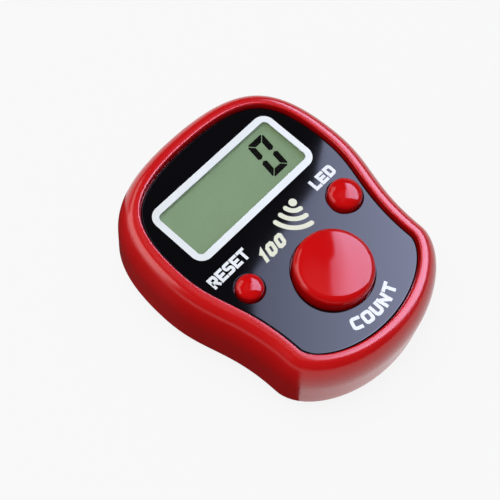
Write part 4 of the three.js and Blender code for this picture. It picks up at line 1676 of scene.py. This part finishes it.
@dataclass
class Studio:
    """Camera, pale floor with two cards of painted shade on it, dark tent, key sheet and soft boxes.

    Lengths are in millimetres, and a brightness of 1 is white.

    Attributes:
        eye: where the camera stands.
        aim: what it looks at.
        upwards: which way is up in its picture.
        lens: its focal length.
        sensor: width of its sensor.
        clip: nearest and furthest that it sees, in metres.
        floor_reach: the floor's radius.
        floor_hole_inset: how far under the case its opening starts.
        floor_paint_level: how much light the floor's paint sends back.
        floor_glow: how much of the floor's look is even white.
        tent_radius: the tent's radius.
        tent_overlap: how far the tent reaches under the floor.
        tent_detail: how often its faces are split.
        tent_colour: colour of its faint glow.
        tent_level: brightness of that glow.
        cards: the cards on the floor, which paint shade in what the walls reflect and in their bounce
            light.
        card_reach: how far a card reaches out from the case.
        card_focus: the point that it reaches away from.
        card_height: how high over the floor it lies.
        key_height: how high the key sheet hangs.
        key_corners: its corners, seen from above.
        key_soft: width of its soft edge.
        key_edge: brightness at that edge, as a share of the sheet's.
        key_level: the sheet's brightness.
        key_colour: colour of its glow.
        key_way: the way in which it grows brighter.
        key_span: where that starts and ends, along that way.
        key_fade: shares of the brightness there.
        world_level: brightness of the even light from the white background.
        boxes: the soft boxes.
    """

    eye: Point = (-50.892, -29.262, 128.373)
    aim: Point = (-4.684, 1.182, 11.1)
    upwards: Point = (0.64711, 0.63619, 0.42014)
    lens: float = 82.564
    sensor: float = 36.0
    clip: tuple[float, float] = (0.005, 50.0)
    floor_reach: float = 2600.0
    floor_hole_inset: float = 2.1
    floor_paint_level: float = 0.6
    floor_glow: float = 0.88
    tent_radius: float = 900.0
    tent_overlap: float = 2.0
    tent_detail: int = 5
    tent_colour: Colour = (0.9, 0.95, 1.0)
    tent_level: float = 0.05
    cards: tuple[Card, ...] = (
        # Painted shade: a dim reddish card seen only in reflections, standing in for the shaded floor
        # by the near walls, so those walls reflect dark.
        Card("reflected_shade_card", 100.0, 231.0, (1.0, 0.5, 0.5), 0.05, Seen.GLOSS),
        # Painted shade: a dim card seen only by bounce light, standing in for the shaded floor by the
        # near-left wall, so that wall is lit less.
        Card("bounce_shade_card", 170.0, 240.0, (1.0, 1.0, 1.0), 0.16, Seen.MATT),
    )
    card_reach: float = 60.0
    card_focus: Spot = (8.0, -4.5)
    card_height: float = 0.15
    key_height: float = 400.0
    key_corners: tuple[Spot, ...] = (
        (-40.0, -77.0),
        (141.0, 93.0),
        (196.0, 102.0),
        (244.0, 131.0),
        (383.0, 251.0),
        (850.0, 630.0),
        (1000.0, -700.0),
        (574.0, -700.0),
    )
    key_soft: float = 70.0
    key_edge: float = 0.5
    key_level: float = 4.6
    key_colour: Colour = (0.83, 0.9, 1.32)
    key_way: Point = (0.673, -0.733, 0.0)
    key_span: tuple[float, float] = (20.0, 155.0)
    key_fade: tuple[float, float] = (0.52, 1.75)
    world_level: float = 0.25
    boxes: tuple[SoftBox, ...] = (
        SoftBox("rim_box", (-320, 300, 150), (0, 0, 8), (1, 1, 0), (460, 290), 2.9, seen=Seen.GLOSS),
        SoftBox("side_box", (-40, 420, 240), (0, 0, 8), (1, 0, 0), (230, 190), 2.2, seen=Seen.GLOSS),
        SoftBox(
            name="soft_light",
            centre=(-95, 90, 640),
            aim=(0, 0, 0),
            along=(1, 0, 0),
            size=(520, 520),
            radiance=3.7,
            colour=(0.97, 1, 1.02),
            seen=Seen.MATT,
        ),
        SoftBox("under_box", (-60, -40, -260), (0, 0, 0), (1, 0, 0), (320, 320), 2.2),
        SoftBox("under_side_box", (220, 120, -180), (0, 0, 0), (0, 1, 0), (160, 160), 2.0),
    )

    def build(self) -> None:
        """Sets the studio up."""
        self.camera()
        self.floor()
        self.tent()
        for card in self.cards:
            self.lay(card)
        self.world()
        self.key_sheet()
        for box in self.boxes:
            box.build()

    def camera(self) -> None:
        """Stands the camera where the photograph was taken from."""
        data = bpy.data.cameras.new("camera")
        data.lens = self.lens
        data.sensor_width = self.sensor
        data.clip_start, data.clip_end = self.clip
        holder = bpy.data.objects.new("camera", data)
        forward = (Vector(self.aim) - Vector(self.eye)).normalized()
        right = forward.cross(Vector(self.upwards)).normalized()
        stand(holder, self.eye, right, right.cross(forward))
        bpy.context.scene.camera = holder

    def floor(self) -> None:
        """Lays the floor, with an opening hidden under the case so that the back has light."""
        bm = bmesh.new()
        edge = CircleLoop((0.0, 0.0), self.floor_reach, len(OUTLINE.base()))
        rim = draw_ring(bm, edge, (0.0, 0.0))
        hole = draw_ring(bm, OUTLINE, (self.floor_hole_inset, 0.0))
        close_flat(bm, [rim, hole])
        self.face_up(bm)
        add_mesh("floor", bm, self.floor_paint())

    def face_up(self, bm: bmesh.types.BMesh) -> None:
        """Turns every face's front up, which is the side that show_from_above shows.

        Args:
            bm: the mesh.
        """
        bm.normal_update()
        for face in bm.faces:
            if face.normal.z < 0:
                face.normal_flip()

    def floor_paint(self) -> bpy.types.Material:
        """Makes white paint above and nothing to see from below.

        Returns:
            The material.
        """
        material = bpy.data.materials.new("white_floor")
        material.use_nodes = True
        tree = material.node_tree
        tree.nodes.clear()
        paint = tree.nodes.new("ShaderNodeBsdfDiffuse")
        paint.inputs["Color"].default_value = (*[self.floor_paint_level] * 3, 1)
        glow = tree.nodes.new("ShaderNodeEmission")
        glow.inputs["Strength"].default_value = 1.0
        lift = tree.nodes.new("ShaderNodeMixShader")
        tree.links.new(self.seen_rays(tree, self.floor_glow), lift.inputs["Fac"])
        tree.links.new(paint.outputs["BSDF"], lift.inputs[1])
        tree.links.new(glow.outputs["Emission"], lift.inputs[2])
        self.show_from_above(tree, lift.outputs["Shader"])
        return material

    def show_from_above(self, tree: bpy.types.NodeTree, surface: bpy.types.NodeSocket) -> None:
        """Shows a surface on the upper side and nothing on the lower side.

        Args:
            tree: the material's node tree.
            surface: the upper side's shader.
        """
        geometry = tree.nodes.new("ShaderNodeNewGeometry")
        clear = tree.nodes.new("ShaderNodeBsdfTransparent")
        both = tree.nodes.new("ShaderNodeMixShader")
        output = tree.nodes.new("ShaderNodeOutputMaterial")
        tree.links.new(geometry.outputs["Backfacing"], both.inputs["Fac"])
        tree.links.new(surface, both.inputs[1])
        tree.links.new(clear.outputs["BSDF"], both.inputs[2])
        tree.links.new(both.outputs["Shader"], output.inputs["Surface"])

    def seen_rays(self, tree: bpy.types.NodeTree, share: float) -> bpy.types.NodeSocket:
        """Tells the rays that the camera, gloss or glass sends out from the rest.

        Args:
            tree: the node tree of a material or the world.
            share: the factor for those rays; for the rest it is 0.

        Returns:
            The factor.
        """
        path = tree.nodes.new("ShaderNodeLightPath")
        either = tree.nodes.new("ShaderNodeMath")
        either.operation = "MAXIMUM"
        both = tree.nodes.new("ShaderNodeMath")
        both.operation = "MAXIMUM"
        scaled = tree.nodes.new("ShaderNodeMath")
        scaled.operation = "MULTIPLY"
        scaled.inputs[1].default_value = share
        tree.links.new(path.outputs["Is Camera Ray"], either.inputs[0])
        tree.links.new(path.outputs["Is Glossy Ray"], either.inputs[1])
        tree.links.new(either.outputs["Value"], both.inputs[0])
        tree.links.new(path.outputs["Is Transmission Ray"], both.inputs[1])
        tree.links.new(both.outputs["Value"], scaled.inputs[0])
        return scaled.outputs["Value"]

    def tent(self) -> None:
        """Hangs a dark tent over the set, like black card round a glossy thing."""
        bm = bmesh.new()
        bmesh.ops.create_icosphere(bm, subdivisions=self.tent_detail, radius=self.tent_radius)
        bmesh.ops.bisect_plane(
            bm,
            geom=[*bm.verts, *bm.edges, *bm.faces],
            plane_co=(0, 0, -self.tent_overlap),
            plane_no=(0, 0, -1),
            clear_outer=True,
        )
        paint = self.glow_paint("dark_tent", self.tent_colour, self.tent_level)
        self.hide(add_mesh("tent", bm, paint), glass=True)

    def hide(
        self, holder: bpy.types.Object, seen: Seen = Seen.GLOSS, glass: bool = False
    ) -> None:
        """Hides a stage object from the camera and keeps it from casting shadows.

        Args:
            holder: the object.
            seen: which rays still see it.
            glass: whether rays that passed through glass see it too.
        """
        holder.visible_camera = False
        holder.visible_shadow = False
        holder.visible_diffuse = seen is not Seen.GLOSS
        holder.visible_glossy = seen is not Seen.MATT
        holder.visible_transmission = glass

    def key_sheet(self) -> None:
        """Hangs a glowing sheet, whose edge shows in the panel and the buttons."""
        bm = bmesh.new()
        sheet = bm.faces.new([bm.verts.new((x, y, self.key_height)) for x, y in self.key_corners])
        bmesh.ops.inset_individual(bm, faces=[sheet], thickness=self.key_soft)
        level = bm.verts.layers.float.new("level")
        inner = set(sheet.verts)
        for vert in bm.verts:
            vert[level] = 1.0 if vert in inner else self.key_edge
        paint = self.glow_paint("key_glow", self.key_colour, self.key_level)
        self.fade_paint(paint.node_tree)
        self.hide(add_mesh("key_sheet", bm, paint))

    def fade_paint(self, tree: bpy.types.NodeTree) -> None:
        """Makes the sheet's glow follow its soft edge and grow to the right.

        Args:
            tree: the node tree of its paint.
        """
        place = tree.nodes.new("ShaderNodeTexCoord")
        along = tree.nodes.new("ShaderNodeVectorMath")
        along.operation = "DOT_PRODUCT"
        along.inputs[1].default_value = self.key_way
        span = tree.nodes.new("ShaderNodeMapRange")
        span.inputs["From Min"].default_value = self.key_span[0] * MM
        span.inputs["From Max"].default_value = self.key_span[1] * MM
        span.inputs["To Min"].default_value = self.key_fade[0] * self.key_level
        span.inputs["To Max"].default_value = self.key_fade[1] * self.key_level
        edge = tree.nodes.new("ShaderNodeAttribute")
        edge.attribute_name = "level"
        both = tree.nodes.new("ShaderNodeMath")
        both.operation = "MULTIPLY"
        tree.links.new(place.outputs["Object"], along.inputs[0])
        tree.links.new(along.outputs["Value"], span.inputs["Value"])
        tree.links.new(span.outputs["Result"], both.inputs[0])
        tree.links.new(edge.outputs["Fac"], both.inputs[1])
        tree.links.new(both.outputs["Value"], tree.nodes["Emission"].inputs["Strength"])

    def lay(self, card: Card) -> None:
        """Lays a card of painted shade on the floor.

        Args:
            card: the card.
        """
        bm = bmesh.new()
        verts = []
        for point in OUTLINE.base():
            if card.start <= math.degrees(math.atan2(point.y, point.x)) % 360 <= card.end:
                verts.append(bm.verts.new((point.x, point.y, self.card_height)))
        edges = [bm.edges.new(pair) for pair in zip(verts, verts[1:])]
        made = bmesh.ops.extrude_edge_only(bm, edges=edges)["geom"]
        for vert in {item for item in made if isinstance(item, bmesh.types.BMVert)}:
            vert.co.xy += (vert.co.xy - Vector(self.card_focus)).normalized() * self.card_reach
        self.face_up(bm)
        paint = self.glow_paint(card.name, card.colour, card.glow)
        tree = paint.node_tree
        tree.nodes.remove(tree.nodes["Material Output"])
        self.show_from_above(tree, tree.nodes["Emission"].outputs["Emission"])
        self.hide(add_mesh(card.name, bm, paint), card.seen)

    def glow_paint(self, name: str, colour: Colour, strength: float) -> bpy.types.Material:
        """Makes a material of one even glow.

        Args:
            name: its name.
            colour: the glow's colour.
            strength: how strong it is, where 1 is white.

        Returns:
            The material.
        """
        material = bpy.data.materials.new(name)
        material.use_nodes = True
        tree = material.node_tree
        tree.nodes.clear()
        glow = tree.nodes.new("ShaderNodeEmission")
        glow.inputs["Color"].default_value = (*colour, 1)
        glow.inputs["Strength"].default_value = strength
        output = tree.nodes.new("ShaderNodeOutputMaterial")
        tree.links.new(glow.outputs["Emission"], output.inputs["Surface"])
        return material

    def world(self) -> None:
        """Makes the background white where it is seen and a weak even light elsewhere."""
        world = bpy.data.worlds.new("studio")
        bpy.context.scene.world = world
        world.use_nodes = True
        tree = world.node_tree
        background = tree.nodes["Background"]
        background.inputs["Color"].default_value = (1, 1, 1, 1)
        level = tree.nodes.new("ShaderNodeMapRange")
        level.inputs["To Min"].default_value = self.world_level
        level.inputs["To Max"].default_value = 1.0
        tree.links.new(self.seen_rays(tree, 1.0), level.inputs["Value"])
        tree.links.new(level.outputs["Result"], background.inputs["Strength"])


def main() -> None:
    """Builds the counter and its studio in order."""
    logging.basicConfig(level=logging.INFO, format="%(name)s %(message)s")
    Case().build()
    face = Face()
    face.build()
    Display().build(face)
    Keys().build()
    top = top_of("face_panel")
    for word in WORDS:
        word.build(top)
    SoundSign().build(top)
    Battery().build()
    Works().build()
    Studio().build()
    bpy.context.scene.view_settings.view_transform = "Standard"


if __name__ == "__main__":
    main()
